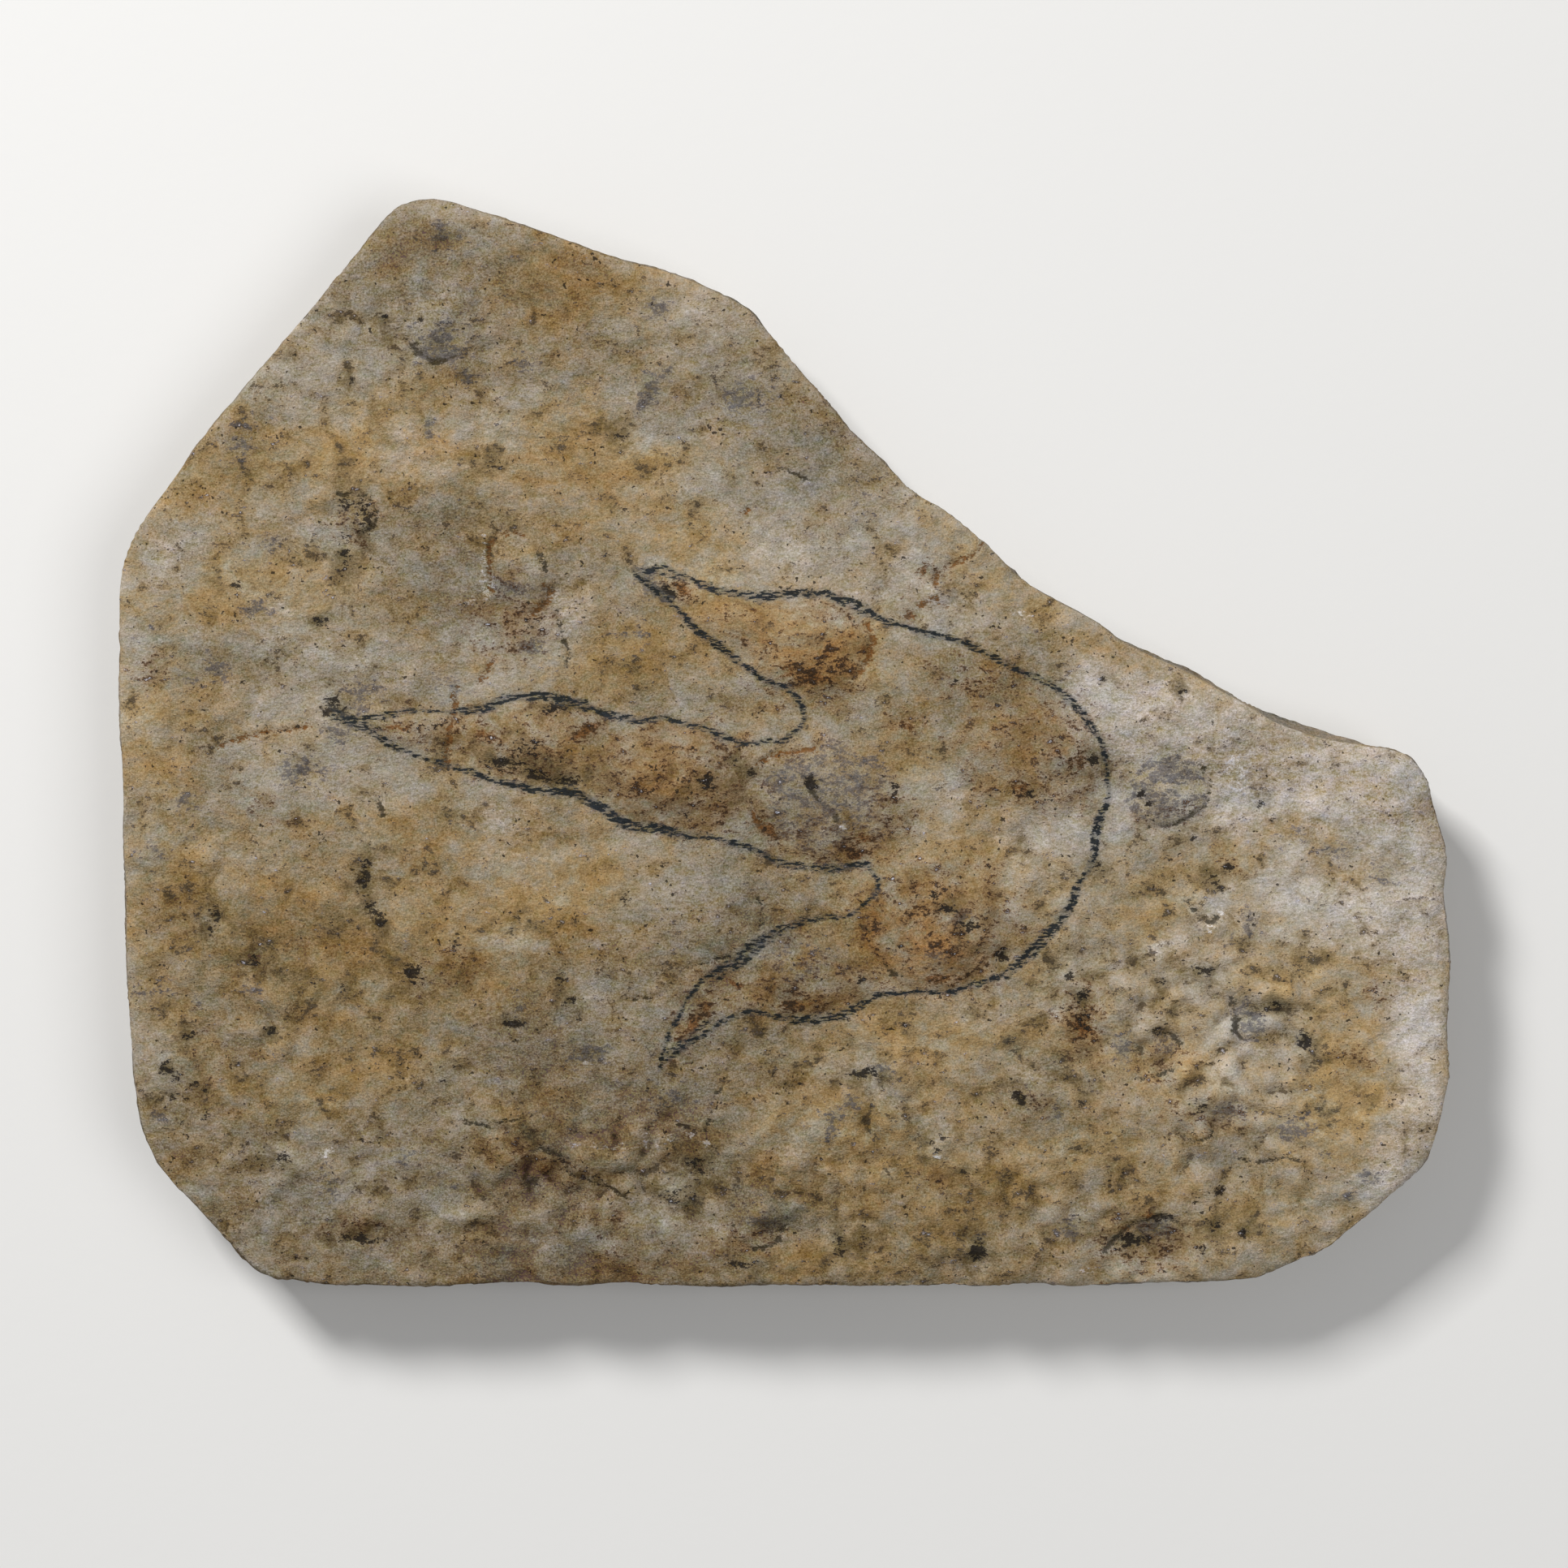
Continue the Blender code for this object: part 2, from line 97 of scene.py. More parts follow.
# Warm stains
OCHRE_ZONES_MM = (
    (-103, 47, 12, 6, 0.6, 25), (-81, 54, 13, 7, 0.7, 5), (-62, 54, 12, 7, 0.8), (-45, 52, 12, 7, 0.85, -5),
    (-32, 48, 11, 8, 1, -15), (-20, 39, 8, 7, 0.8, -40), (-14, 33, 6, 5, 0.6, -40),
    (-8, 21, 8, 5, 0.6, -25), (4, 16, 11, 7, 0.7, -5), (-100, 25, 9, 5, 0.75), (-89, 28, 10, 5, 0.6),
    (-115, 3, 5, 9, 0.5), (-28, 15, 9, 6, 0.85, 10), (-20, 21, 7, 5, 0.5), (-22, -10, 11, 6, 0.4, -12),
    (-79, -33, 14, 9, 0.95), (-62, -20, 10, 6, 0.9), (-70, -15, 12, 6, 0.85), (-35, -28, 10, 6, 0.8),
    (-95, -28, 13, 8, 0.85), (-78, -62, 12, 7, 0.6), (-55, -32, 16, 9, 0.75), (-100, -60, 12, 9, 0.4),
    (-48, -42, 14, 8, 0.5), (-90, -48, 16, 9, 0.35), (-111, -20, 7, 14, 0.5), (22, -31, 9, 7, 0.95),
    (30, -55, 12, 8, 0.75), (0, -76, 13, 8, 0.95), (12, -65, 13, 7, 0.65), (22, -74, 11, 8, 0.7),
    (30, -86, 11, 7, 0.8), (4, -94, 10, 4, 0.8), (48, -72, 11, 8, 0.5), (58, -66, 14, 9, 0.6),
    (88, -83, 13, 7, 0.8, 20), (72, -80, 10, 6, 0.6), (99, -64, 8, 13, 0.5), (104, -49, 6, 9, 0.65),
    (88, -43, 10, 7, 0.55), (80, -21, 8, 5, 0.65), (93, -15, 6, 4, 0.75), (68, -34, 9, 6, 0.6),
    (39, 28, 9, 4, 0.5, -40), (60, 16, 12, 4, 0.5, -25), (-45, 88, 12, 5, 0.4, -15),
    (-32, 81, 11, 5, 0.4, -20), (26, 6, 7, 5, 0.55), (20, -2, 7, 5, 0.6), (48, -2, 10, 8, 0.45),
    (-45, 1, 12, 5, 0.4, -6), (36, -16, 14, 8, 0.2), (75, -58, 9, 7, 0.4), (-40, -67, 7, 5, 0.35),
    (-75, -32, 26, 16, 0.5), (-60, -20, 22, 9, 0.5), (-100, -36, 18, 10, 0.5), (-70, 51, 18, 6, 0.6, 4),
    (-38, 52, 14, 7, 0.6, -6), (-101, 33, 5, 11, 0.6), (27, -36, 14, 12, 0.7), (20, -72, 30, 18, 0.28),
    (60, -80, 34, 12, 0.22), (100, -66, 7, 16, 0.25), (34, -1, 13, 10, 0.35), (52, -53, 7, 4, 0.7),
    (-12, 32, 5, 8, 0.4, 30), (8, 15, 8, 6, 0.6), (35, 33, 12, 4, 0.4, -35), (-30, -8, 12, 6, 0.3, -12),
    (68, -36, 5, 6, 0.4),
)

# Cool stains, one of them painted shade on the lower right of the dome at x 78
GREY_ZONES_MM = (
    (-65, 94, 9, 5, 0.6, -10), (-90, 68, 15, 8, 0.5, 50), (-81, 3, 8, 6, 0.8), (-85, 12, 16, 7, 0.45),
    (2, 47, 9, 12, 0.75, 20), (9.5, -9.5, 7.5, 8, 1), (-50, -53, 10, 7, 0.55), (-8, -52, 12, 6, 0.6),
    (-75, -76, 15, 8, 0.6), (-22, -63, 9, 6, 0.8), (-62, 75, 9, 7, 0.8, -20), (-42, -88, 22, 8, 0.5),
    (-97, -84, 12, 9, 0.5, -40), (-16, -30, 15, 8, 0.6, -10), (-49, 24, 9, 8, 0.55), (-57, 20, 8, 8, 0.5),
    (67, -9, 9, 7, 0.6, -10), (48, 8, 9, 8, 0.35), (-8, 62, 11, 9, 0.45), (-18, 74, 10, 6, 0.4, -20),
    (107, -22, 8, 8, 0.4), (-60, -10, 14, 4, 0.4, -14), (-88, -4, 6, 4, 0.5), (84, -50, 5, 6, 0.45, 20),
    # Painted shade: the zone at x 78 below
    (-13, -84, 7, 8, 0.45), (45, -60, 8, 5, 0.35), (78, -66, 11, 5, 0.4, 10), (2, 52, 16, 24, 0.55, 25),
    (-12, 68, 12, 10, 0.35), (-80, 12, 22, 8, 0.55), (-82, -8, 16, 4, 0.45), (-37, -57, 14, 8, 0.5),
    (-20, -60, 9, 8, 0.45), (-18, -32, 13, 11, 0.55), (16, 26, 12, 8, 0.5, -50), (60, 2, 12, 14, 0.6),
    (48, -22, 10, 8, 0.3), (-58, 36, 9, 10, 0.35), (-78, 70, 10, 8, 0.45, 40), (-55, -88, 24, 8, 0.35),
    (-95, -76, 14, 8, 0.35), (4, -10, 8, 9, 0.4), (68, -88, 8, 5, 0.35), (84, -34, 10, 9, 0.35),
)

# Stains of pale bleaching, and painted highlights on the lit tops of two knobs
PALE_ZONES_MM = (
    (101, -6, 20, 9, 0.9, -10), (115, -28, 5.5, 17, 0.95), (115, -56, 5, 18, 0.95),
    (80, 0, 16, 7, 0.75, -20), (109, -76, 9, 6, 0.7, 40), (52, -12.5, 2.6, 3.2, 0.6),
    (82, -5.5, 3.4, 5, 0.95), (84, -14, 12, 5, 0.6, -10), (-75, 17, 22, 5, 0.35),
    (-48, -15, 14, 5, 0.4, -14), (14, 30, 9, 5, 0.15, -30), (40, -17, 12, 9, 0.35),
    # Painted highlights: the oval at x 78, y -60.5 below and the one at x 45, y -60.5 after it
    (-112, 38, 7, 4, 0.12, 50), (-70, 60, 9, 5, 0.3), (70, -37.5, 5, 3, 0.5), (78, -60.5, 6, 2.6, 0.2, 10),
    (45, -60.5, 3, 2, 0.6), (56, 10, 9, 7, 0.45, -30), (72, 4, 13, 8, 0.6, -20), (106, -34, 9, 14, 0.6),
    (92, -28, 11, 8, 0.4), (68, -8, 9, 8, 0.35), (8, 38, 14, 9, 0.2, -40), (112, -10, 8, 8, 0.6),
    (-40, 25, 6, 7, 0.35), (-58, -50, 8, 5, 0.25), (90, -58, 6, 4, 0.3),
)

# Broad areas made lighter (above 0) or darker (below 0): paler stone on the right, and painted shade where
# the light falls off towards the bottom and lower left, with smaller lighter and darker patches elsewhere
BLEACH_AND_FALLOFF_SHADE_MM = (
    (-35, -84, 62, 22, -0.35), (-15, -52, 60, 22, -0.2), (-100, -50, 34, 30, -0.1),
    (-56, 84, 26, 13, -0.4, -14), (96, -32, 26, 26, 0.26), (108, -12, 18, 12, -0.24),
    (82, -6, 30, 14, -0.04, -20), (5, 44, 30, 20, 0.02, -40), (-88, 8, 30, 16, -0.05),
    (98, -80, 22, 20, 0.12), (76, -56, 22, 16, 0.18), (36, -54, 24, 14, 0.14), (6, -28, 18, 14, -0.26),
    (76, -98, 22, 10, 0.06), (52, 20, 12, 8, 0.16, -40), (-116, -52, 10, 16, 0.12),
    (-106, -78, 16, 14, -0.2), (8, 62, 16, 14, -0.2), (58, -26, 22, 12, 0.14), (-112, 40, 12, 18, -0.14),
    (36, 10, 18, 12, -0.1), (-84, 52, 18, 10, 0.04), (-52, 30, 16, 12, -0.1), (30, -10, 18, 14, 0.06),
    (-66, 38, 14, 10, -0.14), (-40, -103, 60, 8, -0.34), (12, 14, 12, 9, -0.12), (56, -8, 12, 10, -0.1),
    (34, 36, 20, 12, 0.07), (110, -62, 12, 24, 0.1), (-50, -38, 14, 12, -0.12), (-48, 10, 14, 10, 0.08),
)

# Broad speckled brown over the pads of the track
BROWN_MM = (
    (5, 13, 7.5, 4.6, 0.95, 5), (8, 18, 6, 5.5, 0.55), (-2, 17, 6, 5, 0.35),
    (-14, -7.5, 6.5, 7.5, 0.9, -12), (-23, -12, 6, 3.5, 0.7), (-25, -6, 8, 6, 0.7, -10),
    (-46, -3, 9, 4, 0.9, -8), (-41, 5.8, 5.5, 2.4, 0.8, -6), (-46, 1.5, 10, 5, 0.5, -6),
    (-35.5, 2.2, 3.4, 1.8, 0.75, 35), (-62, 2.5, 9, 2.6, 0.6, -6), (19, -12.5, 3.6, 5, 0.7),
    (12, -19, 7, 2.6, 0.85), (-3.5, -14, 2.6, 5, 0.75, 30), (4, -17, 6, 4, 0.5), (36, 10, 8, 3.6, 0.65, -8),
    (51, -2, 5.5, 7.5, 0.62), (42.5, -8.5, 5.5, 2.2, 0.85), (41, 1.5, 8, 7, 0.45),
    (22.5, 3, 4, 2.6, 0.5, -20), (28, -32, 11, 7.5, 0.8), (28.5, -39, 8, 5, 0.7),
    (22, -27, 5, 2.6, 0.6, 20), (3, -44.5, 12, 3.6, 0.7, 3), (2.5, -47, 7, 2.2, 0.95),
    (-15, -48.5, 3, 6, 0.85, -30), (-18.5, -52.5, 1.8, 3.6, 0.7, -30), (-50, 22.5, 6, 5.5, 0.72),
    (-19, 28.4, 3.4, 1.6, 0.9, -32), (-9, 22.5, 5, 3, 0.45, -25), (54, -50, 3.2, 5.4, 1, 12),
    (65, -90.5, 7.5, 4, 0.9, -5), (-67.5, -42, 2.4, 2.8, 0.8), (69, -13.5, 5, 2, 0.35),
    (28.5, 31, 3.6, 2.4, 0.6), (80, -22, 4, 3, 0.35), (44, -65, 3.6, 2.4, 0.6),
    (-45, -75, 8, 3.2, 0.7, -18), (-5, -88.5, 5, 3.2, 0.6), (69, -57.5, 4.2, 3.2, 0.6),
    (77, -67.5, 6, 3, 0.6, -5), (-78, 40.5, 3.6, 4, 0.65), (-115, 13, 3, 2.6, 0.6),
    (-105, -57.5, 3.6, 3.4, 0.5), (-59, -41, 4.4, 3.4, 0.55), (-31, -89, 3.4, 4.2, 0.6),
    (-77, -88, 4.6, 2.2, 0.8), (28.5, -78.5, 3, 2, 0.65), (104, -57.5, 3.4, 2.6, 0.5),
    (107, -46, 2.4, 2.8, 0.5), (-93, -13, 7, 3, 0.3, -20),
)

# Small dark olive to black spots, some of them painted shade along the lower edges of a pad, knobs and
# ledges and in a hollow, and how far they and the dim halo round them spread, in spot sizes
DARK_MM = (
    (-82, 7, 1.2, 1.4, 1), (-83.2, 5.4, 0.9, 0.8, 0.9), (-80.4, 5.7, 1, 0.8, 0.9),
    # Painted shade along the lower edge of the middle toe's tip pad: the spots at x -50.5 and -45 below and
    # x -40 after them
    (-64, 3.5, 2.2, 1.3, 0.6), (-50.5, -3.4, 3.2, 0.9, 0.9, -5), (-45, -5.8, 2.6, 0.9, 0.9, -30),
    (-40, -6.8, 3.4, 0.9, 0.9, 5), (-47, -0.5, 2.4, 1.6, 0.6), (-42, 6.5, 2.2, 1, 0.7),
    (-38.5, 6.5, 1.6, 0.7, 0.7), (-14, -7, 2.6, 2, 0.7), (-9.3, -3.2, 0.8, 0.8, 1), (-6, -5.2, 0.8, 0.6, 1),
    (-17, -13, 3, 1.4, 0.6), (4.7, -7.2, 0.9, 0.8, 1), (20, -8, 1, 1, 0.6),
    (-20.5, 27.5, 1.4, 0.8, 0.8, -30), (38.5, 7.8, 0.9, 0.7, 0.8), (31, 11.5, 0.8, 0.7, 0.8),
    (56, -2.8, 1, 0.9, 1), (40.5, -8.8, 1.4, 0.9, 0.9), (44.5, -9, 1.2, 1.1, 0.8),
    (27, -27.5, 1.5, 0.9, 0.8), (29.5, -29.5, 1.4, 1.2, 0.8), (33.5, -33, 1.5, 1, 0.8),
    (20, -36.5, 1.2, 1, 0.6), (39.5, -38.5, 0.9, 1.2, 1, -20), (-79.5, 43.8, 1.6, 1, 0.7),
    (-75.6, 40.6, 1.1, 2.6, 0.8, 20), (-80, 34.5, 1, 2.4, 0.9), (-53, 50.5, 1.6, 1, 0.7),
    (-30, 55.5, 1.6, 1, 0.7), (-33, 34.3, 1.2, 0.8, 0.5), (-29, 42, 1.2, 0.8, 0.5),
    (-72.5, 77, 0.6, 0.6, 0.9), (-66, 77, 0.6, 0.6, 0.9), (-78.5, 66, 0.6, 0.6, 0.8),
    (-90, 69.7, 0.6, 0.6, 0.8), (-99, 28.5, 1.5, 1, 0.7), (-84, 22.5, 2.2, 0.6, 1, 14),
    (-76, -24, 1.1, 2.2, 1, -15), (-75, -29.8, 1, 1.1, 0.9), (-73.6, -32, 1, 1.4, 1, 30),
    (-103, -31, 1.1, 1.3, 0.9), (-104, -33.5, 0.6, 1.4, 0.7, 20), (-82, -32.5, 0.8, 0.8, 0.6),
    (-96, -39, 1.2, 2, 0.7), (-89, -40.8, 0.8, 0.8, 0.7), (-85, -44, 0.6, 1.2, 0.6, 20),
    (-80.5, -44, 0.8, 0.8, 0.6), (-67.5, -41.6, 1.7, 1.9, 0.9), (-59.7, -36, 0.8, 1, 0.6),
    (-93, -52, 1.1, 0.6, 1), (-100, -57.3, 1, 0.7, 0.7), (-112, -59, 1.5, 1, 0.9),
    (-110.5, -60.5, 0.8, 0.8, 0.8), (-107, -61.5, 0.9, 0.7, 0.8), (-110.7, -64, 0.8, 0.8, 0.8),
    (-105, -63, 0.6, 0.7, 0.8), (-105.2, -67.3, 0.6, 0.7, 0.8), (-107.8, -53.2, 1.2, 0.7, 0.9, 45),
    (-62, -61, 0.7, 0.7, 0.6), (-60, -59, 0.7, 0.7, 0.6), (-77, -71.5, 0.6, 0.6, 0.9),
    # Painted shade under a knob: the spot at x -77, y -89.7
    (-73.5, -71.7, 0.6, 0.6, 0.9), (-91, -75.5, 2, 1.4, 0.7), (-77, -89.7, 3.4, 1, 0.9),
    (-49.5, -32, 2, 1.4, 0.6), (-46.5, -39, 0.9, 0.8, 0.6), (-40.5, -42.5, 0.8, 1.3, 0.8),
    (-38.5, -46.5, 1.3, 0.8, 0.9), (-37.5, -49.6, 0.8, 0.6, 0.7), (-49.4, -50.8, 1.6, 0.7, 1),
    (-49, -53.5, 0.7, 0.6, 0.8), (-45, -52, 0.7, 0.6, 0.8), (-57, -51.5, 0.7, 0.6, 0.6),
    # Painted shade below the ledges low on the left: the spots at x -57 and -42 below and x -34 after them
    (-28.7, -28, 0.9, 1.6, 0.7), (-57, -68.5, 2.2, 0.8, 0.5, -8), (-42, -74.5, 2.6, 1.2, 0.6, -35),
    (-34, -79, 2.2, 0.9, 0.5, -30), (-43, -81, 1.4, 1, 0.6), (-15, -77, 2, 2, 0.8),
    (-20, -81.5, 3, 1.5, 0.7), (-8, -94.5, 2.4, 1, 0.7), (54, -46, 1.1, 2, 0.8), (54.6, -51, 1.4, 2, 0.8),
    (51, -48, 0.8, 0.8, 0.7), (51.5, -42, 0.8, 0.8, 0.9), (32.7, -49.7, 0.6, 0.6, 0.8),
    (27, -49.5, 0.6, 0.5, 0.8), (12.3, -53.8, 0.6, 0.5, 0.8), (1, -56.8, 0.6, 0.5, 0.7),
    (23.5, -52, 0.6, 0.5, 0.6), (41, -54, 0.6, 0.6, 0.6), (14, -60, 2, 0.9, 0.9), (28.5, -71, 1, 0.7, 0.8),
    (26.5, -72.2, 0.7, 0.7, 0.8), (27.6, -73.8, 0.9, 0.6, 0.8), (32.5, -77.8, 1.1, 0.6, 1),
    # Painted shade on the lower side of a knob: the spot at x 42.6
    (42.6, -64.4, 1.7, 0.9, 0.9, -48), (51, -61, 0.7, 0.7, 0.6), (53.5, -64.5, 0.7, 0.7, 0.6),
    (80.5, -22.5, 0.8, 0.8, 0.9), (77.8, -24.5, 0.7, 2.4, 0.9, 35), (75.5, -41, 1.6, 0.8, 0.9, -10),
    (69, -43.3, 0.9, 0.6, 0.8), (80.7, -43.3, 0.8, 0.7, 0.8), (89.3, -47.4, 1.2, 0.7, 1, -30),
    (87, -48, 0.7, 0.7, 0.8), (94.5, -53.5, 0.9, 1.8, 0.8), (80.3, -62, 0.6, 0.6, 0.8),
    (92, -63.3, 0.6, 0.6, 0.8), (99.3, -65.3, 0.6, 0.6, 0.7), (75, -65.5, 1.6, 1, 0.7),
    # Painted shade in the hollow low on the right: the spots at x 62.5 and 68
    (62.5, -90.5, 2.6, 1.3, 0.9), (68, -85.8, 2, 0.8, 0.7), (78, -87.5, 1.4, 1, 0.8),
    (83.3, -88.8, 0.8, 0.8, 0.8), (76, -92, 1.2, 0.7, 0.8), (54, -86.5, 1, 1.4, 0.7),
    (79, -81, 1, 0.8, 0.7), (35, -92, 1.2, 1.5, 1), (10, -91, 0.9, 2.3, 0.9), (14.5, -89, 0.8, 1.4, 0.8),
    (64.5, -9, 0.5, 0.5, 0.9), (65.7, -11, 0.5, 0.5, 0.9), (71.7, -16.3, 0.5, 0.5, 0.8),
    (74, -17.2, 0.5, 0.5, 0.8), (72, 9.5, 0.6, 0.6, 0.9), (77.5, 4, 0.6, 0.6, 0.7),
    (86.3, -11.2, 0.6, 0.6, 1), (88, -9.3, 0.5, 0.5, 0.7), (32.5, 30.5, 0.5, 0.5, 0.7),
    (44, -17, 0.6, 0.6, 0.6), (58, 11.8, 0.6, 0.6, 0.8), (57, -21.7, 1.1, 1, 0.7), (12, -36, 0.7, 0.6, 0.7),
    (14, -43, 0.7, 0.6, 0.7), (-31, 17, 1, 0.7, 0.5, 20), (23.5, 43, 0.6, 0.6, 0.7),
    (-58, 25.5, 0.6, 0.6, 0.7), (0, -62, 0.5, 0.5, 0.6), (67, -52, 0.8, 0.8, 0.6),
    (-46, 21.5, 2.4, 0.9, 0.5, 10),
)
DARK_SPREAD = 1.2
HALO_SPREAD = 3.0

# Blue-grey to violet-grey spots, some of them painted shade on the shaded sides of knobs and a hollow
VIOLET_MM = (
    # Painted shade on the lower side of the scratched knob: the spot at x -49
    (-46, 18, 2.2, 2, 0.9), (-49, 27.5, 4, 2.2, 0.7), (-96, 24, 2.6, 1.6, 0.8), (-103, 14, 2.2, 2.6, 0.8),
    (-108, 11.5, 2.2, 1.1, 0.7), (-76, 8, 3.4, 2.8, 0.7), (-80.5, 1.5, 3.2, 1.8, 0.7),
    (-88, -5, 4.4, 3, 0.7), (-108, -11, 2.2, 1.8, 0.6), (-107.5, -17.5, 2.6, 1.6, 0.6),
    (-114, -20, 2.4, 2, 0.6), (-94, 36, 1.8, 2.2, 0.6), (-98, 55, 4.4, 2.8, 0.6, 50), (-64, 58, 1.1, 2, 1),
    (-62, 92, 3.6, 2.6, 0.7), (-62.5, 72, 4.4, 3.4, 0.8), (-57, 67, 1.8, 1.4, 0.8),
    (-47, 69, 1.8, 2.2, 0.6, 30), (-23, 79, 2.2, 2, 0.7), (-25, 64, 1.6, 3.2, 0.9, -20),
    (-21, 68, 2, 1.2, 0.7), (-8, 63, 3.6, 2.4, 0.8), (-2.5, 62.6, 2, 1.8, 0.6), (-78, 41.5, 3, 2.6, 0.7),
    (-97, -44.3, 2.6, 0.9, 0.6), (-115.5, -45, 3.2, 2.2, 0.6), (-106, -47.5, 2, 1.4, 0.6),
    (-114, -67.5, 2.6, 1.2, 0.6), (-69, -74.5, 2.6, 1.6, 0.7), (-60, -79.5, 1.8, 1.2, 0.6),
    # Painted shade under a small knob: the spot at x -83
    (-83, -80, 1.6, 2.6, 0.8, 10), (-35.5, -56, 3.2, 1.6, 0.9, 20), (-48.5, -47.5, 2, 2, 0.7),
    (10, -9.5, 6.4, 6.4, 0.62, 20), (32, -31.5, 2.2, 1.6, 1), (27.5, -38, 3.2, 2, 0.8),
    (2.5, -41, 5.4, 2.2, 0.6, 3), (-23, 28.5, 2.6, 1.6, 1, -30), (70, -5, 4.4, 2.2, 0.8),
    (28, 29, 2, 1.6, 0.6), (45, 19, 2.6, 1.8, 0.5), (12, -65, 2.6, 1.6, 0.7), (8.5, -69, 1.6, 2.6, 0.8),
    (17, -59, 2.6, 1.6, 0.6), (49.7, -67, 1.1, 2, 0.9), (84, -33, 1.6, 2.6, 0.8),
    (81.5, -35.5, 1.4, 1.2, 0.8), (84.5, -50, 2.2, 3.4, 0.9, 20), (61, -55.5, 1.6, 2.6, 0.9),
    # Painted shade on the lower right of the dome: the spot at x 80
    (69, -55, 2.4, 3, 0.7), (94.5, -53.5, 1, 2.2, 0.9), (80, -67, 4.4, 2.2, 0.8), (92, -70, 3.2, 2, 0.9),
    (106, -78.5, 1.6, 1.1, 0.8), (102.5, -82, 1.4, 1.1, 0.8), (98.5, -75, 1.2, 1, 0.7),
    # Painted shade on the slope of the hollow low on the right: the spot at x 67
    (67, -88, 3.6, 2.4, 1), (52, -88, 2, 2, 0.8), (35, -91, 1.6, 1.8, 0.8), (-5, -86.5, 4, 2.4, 0.8),
    (-21, -64, 5, 3.6, 0.5), (-116, 20, 1.6, 3.4, 0.4), (92, -17, 3, 2.4, 0.5), (100, -19, 3.4, 1.8, 0.5),
    (108, -24, 3.2, 2.6, 0.5), (-28, 20, 3.6, 2.4, 0.5), (-62, 10, 5, 2, 0.4), (44.5, -63.5, 3, 2.4, 0.6),
    (14, 44, 3, 4, 0.4),
)

# Strong rust marks
RUST_MM = (
    (-70.5, 2.8, 2.8, 0.8, 1, -6), (-54.5, 2, 3, 1.2, 0.8, -15), (-36, 2.2, 2.6, 1.2, 1, 35),
    (-18.5, 28, 2, 1.1, 1, -35), (-6, 24, 1.2, 0.9, 0.7), (-3.7, 17, 1.8, 0.7, 0.6, 25),
    (5, 12, 3.6, 1.6, 1, 5), (0.5, 13, 1.8, 1.8, 0.9), (8, 16, 1.6, 1.6, 0.8), (12, 20, 0.8, 0.8, 0.8),
    (14.3, 17, 0.8, 1, 0.9), (12, 13, 1, 0.8, 0.8), (23, 23, 1.2, 0.8, 1, -30), (21.5, 26.5, 0.8, 0.6, 0.7),
    (25.2, 31.4, 1.4, 1.2, 0.9), (30.8, 16.5, 1.6, 0.7, 0.8, -20), (26, 14.7, 0.8, 0.6, 0.8),
    (22.5, 3, 1.6, 0.8, 0.8), (24.5, 2, 1, 0.8, 0.7), (28, 1, 1, 0.7, 0.6), (42.5, -8, 2.6, 1, 0.9),
    (73, -11.8, 2.2, 1.4, 0.6, 20), (-3, -15, 1, 2.6, 1, 35), (1, -1.8, 2.6, 0.6, 0.55, 8),
    (14, -17.2, 2.2, 1.2, 0.9), (13, -20.3, 2.6, 1, 0.9), (5, -21, 2.4, 0.8, 0.7), (19, -11, 1.6, 2.4, 0.6),
    (28.5, -36, 2, 1.6, 0.7), (27.5, -42.5, 3, 1, 0.9), (24, -30, 1.6, 1.2, 0.7),
    (2, -47.2, 4.2, 1.1, 1, 2), (-9.2, -43.5, 2.4, 0.7, 1, -18), (-14, -47.7, 0.9, 1.8, 1, -15),
    (-16.5, -50.5, 1.5, 2.2, 1, -25), (-19.5, -53.7, 0.9, 1.6, 0.8, -25), (54, -51.5, 2.4, 2.4, 1),
    (66, -85.5, 1.8, 0.8, 0.9), (62, -88, 1.4, 0.8, 0.8), (58, -98, 1.6, 0.6, 0.8),
    (-43.5, -77, 1.4, 1.2, 0.8), (-107, -48, 1, 0.8, 0.5), (37, 10.5, 3, 1.2, 0.6),
    (47.5, 7.3, 1.4, 1.2, 0.5), (53, -4, 2, 3, 0.6),
)

# Pale scratches and grains, and two painted highlights on the lit rims of a knob and a hollow
WHITE_MM = (
    # Painted highlight on the lit top of a small knob: the mark at x -83
    (-54, 28, 1, 1.7, 1), (-54.4, 34, 0.6, 4, 0.7), (-57, 26.5, 1.4, 1.2, 0.7), (-83, -74, 1.3, 0.8, 1),
    (-36, -58, 1, 0.6, 0.8), (-20.8, -71.5, 0.9, 0.6, 0.9), (-17.5, -71.3, 0.8, 0.6, 0.9),
    (-14, -72.3, 0.8, 0.6, 0.9), (-29, -73, 5, 0.6, 0.8), (10.7, -15, 0.6, 0.5, 1),
    (43, 23.5, 1.4, 0.8, 0.8, -20), (77.5, -33.5, 1, 0.8, 0.75), (27.8, -74.8, 0.8, 0.6, 0.8),
    (55.5, -95.8, 1.4, 0.7, 0.7), (82, -5, 1.6, 3, 0.8), (-24, -71, 1.6, 0.5, 0.6),
    # Painted highlight on the lit rim of the hollow low on the right: the mark at x 62.5
    (79, -30.5, 0.8, 0.8, 0.7), (62.5, -86.5, 0.9, 0.6, 0.5),
)

# Where the face is most knobbly
KNOBBLY_ZONES_MM = (
    (75, -62, 38, 34, 1), (15, -78, 40, 18, 0.9), (-45, -75, 26, 16, 0.9, -10), (-70, -86, 26, 10, 0.6),
    (-62, 72, 18, 14, 0.5), (-100, -50, 18, 30, 0.5), (27, 30, 8, 8, 0.6), (-78, 38, 8, 10, 0.6),
)
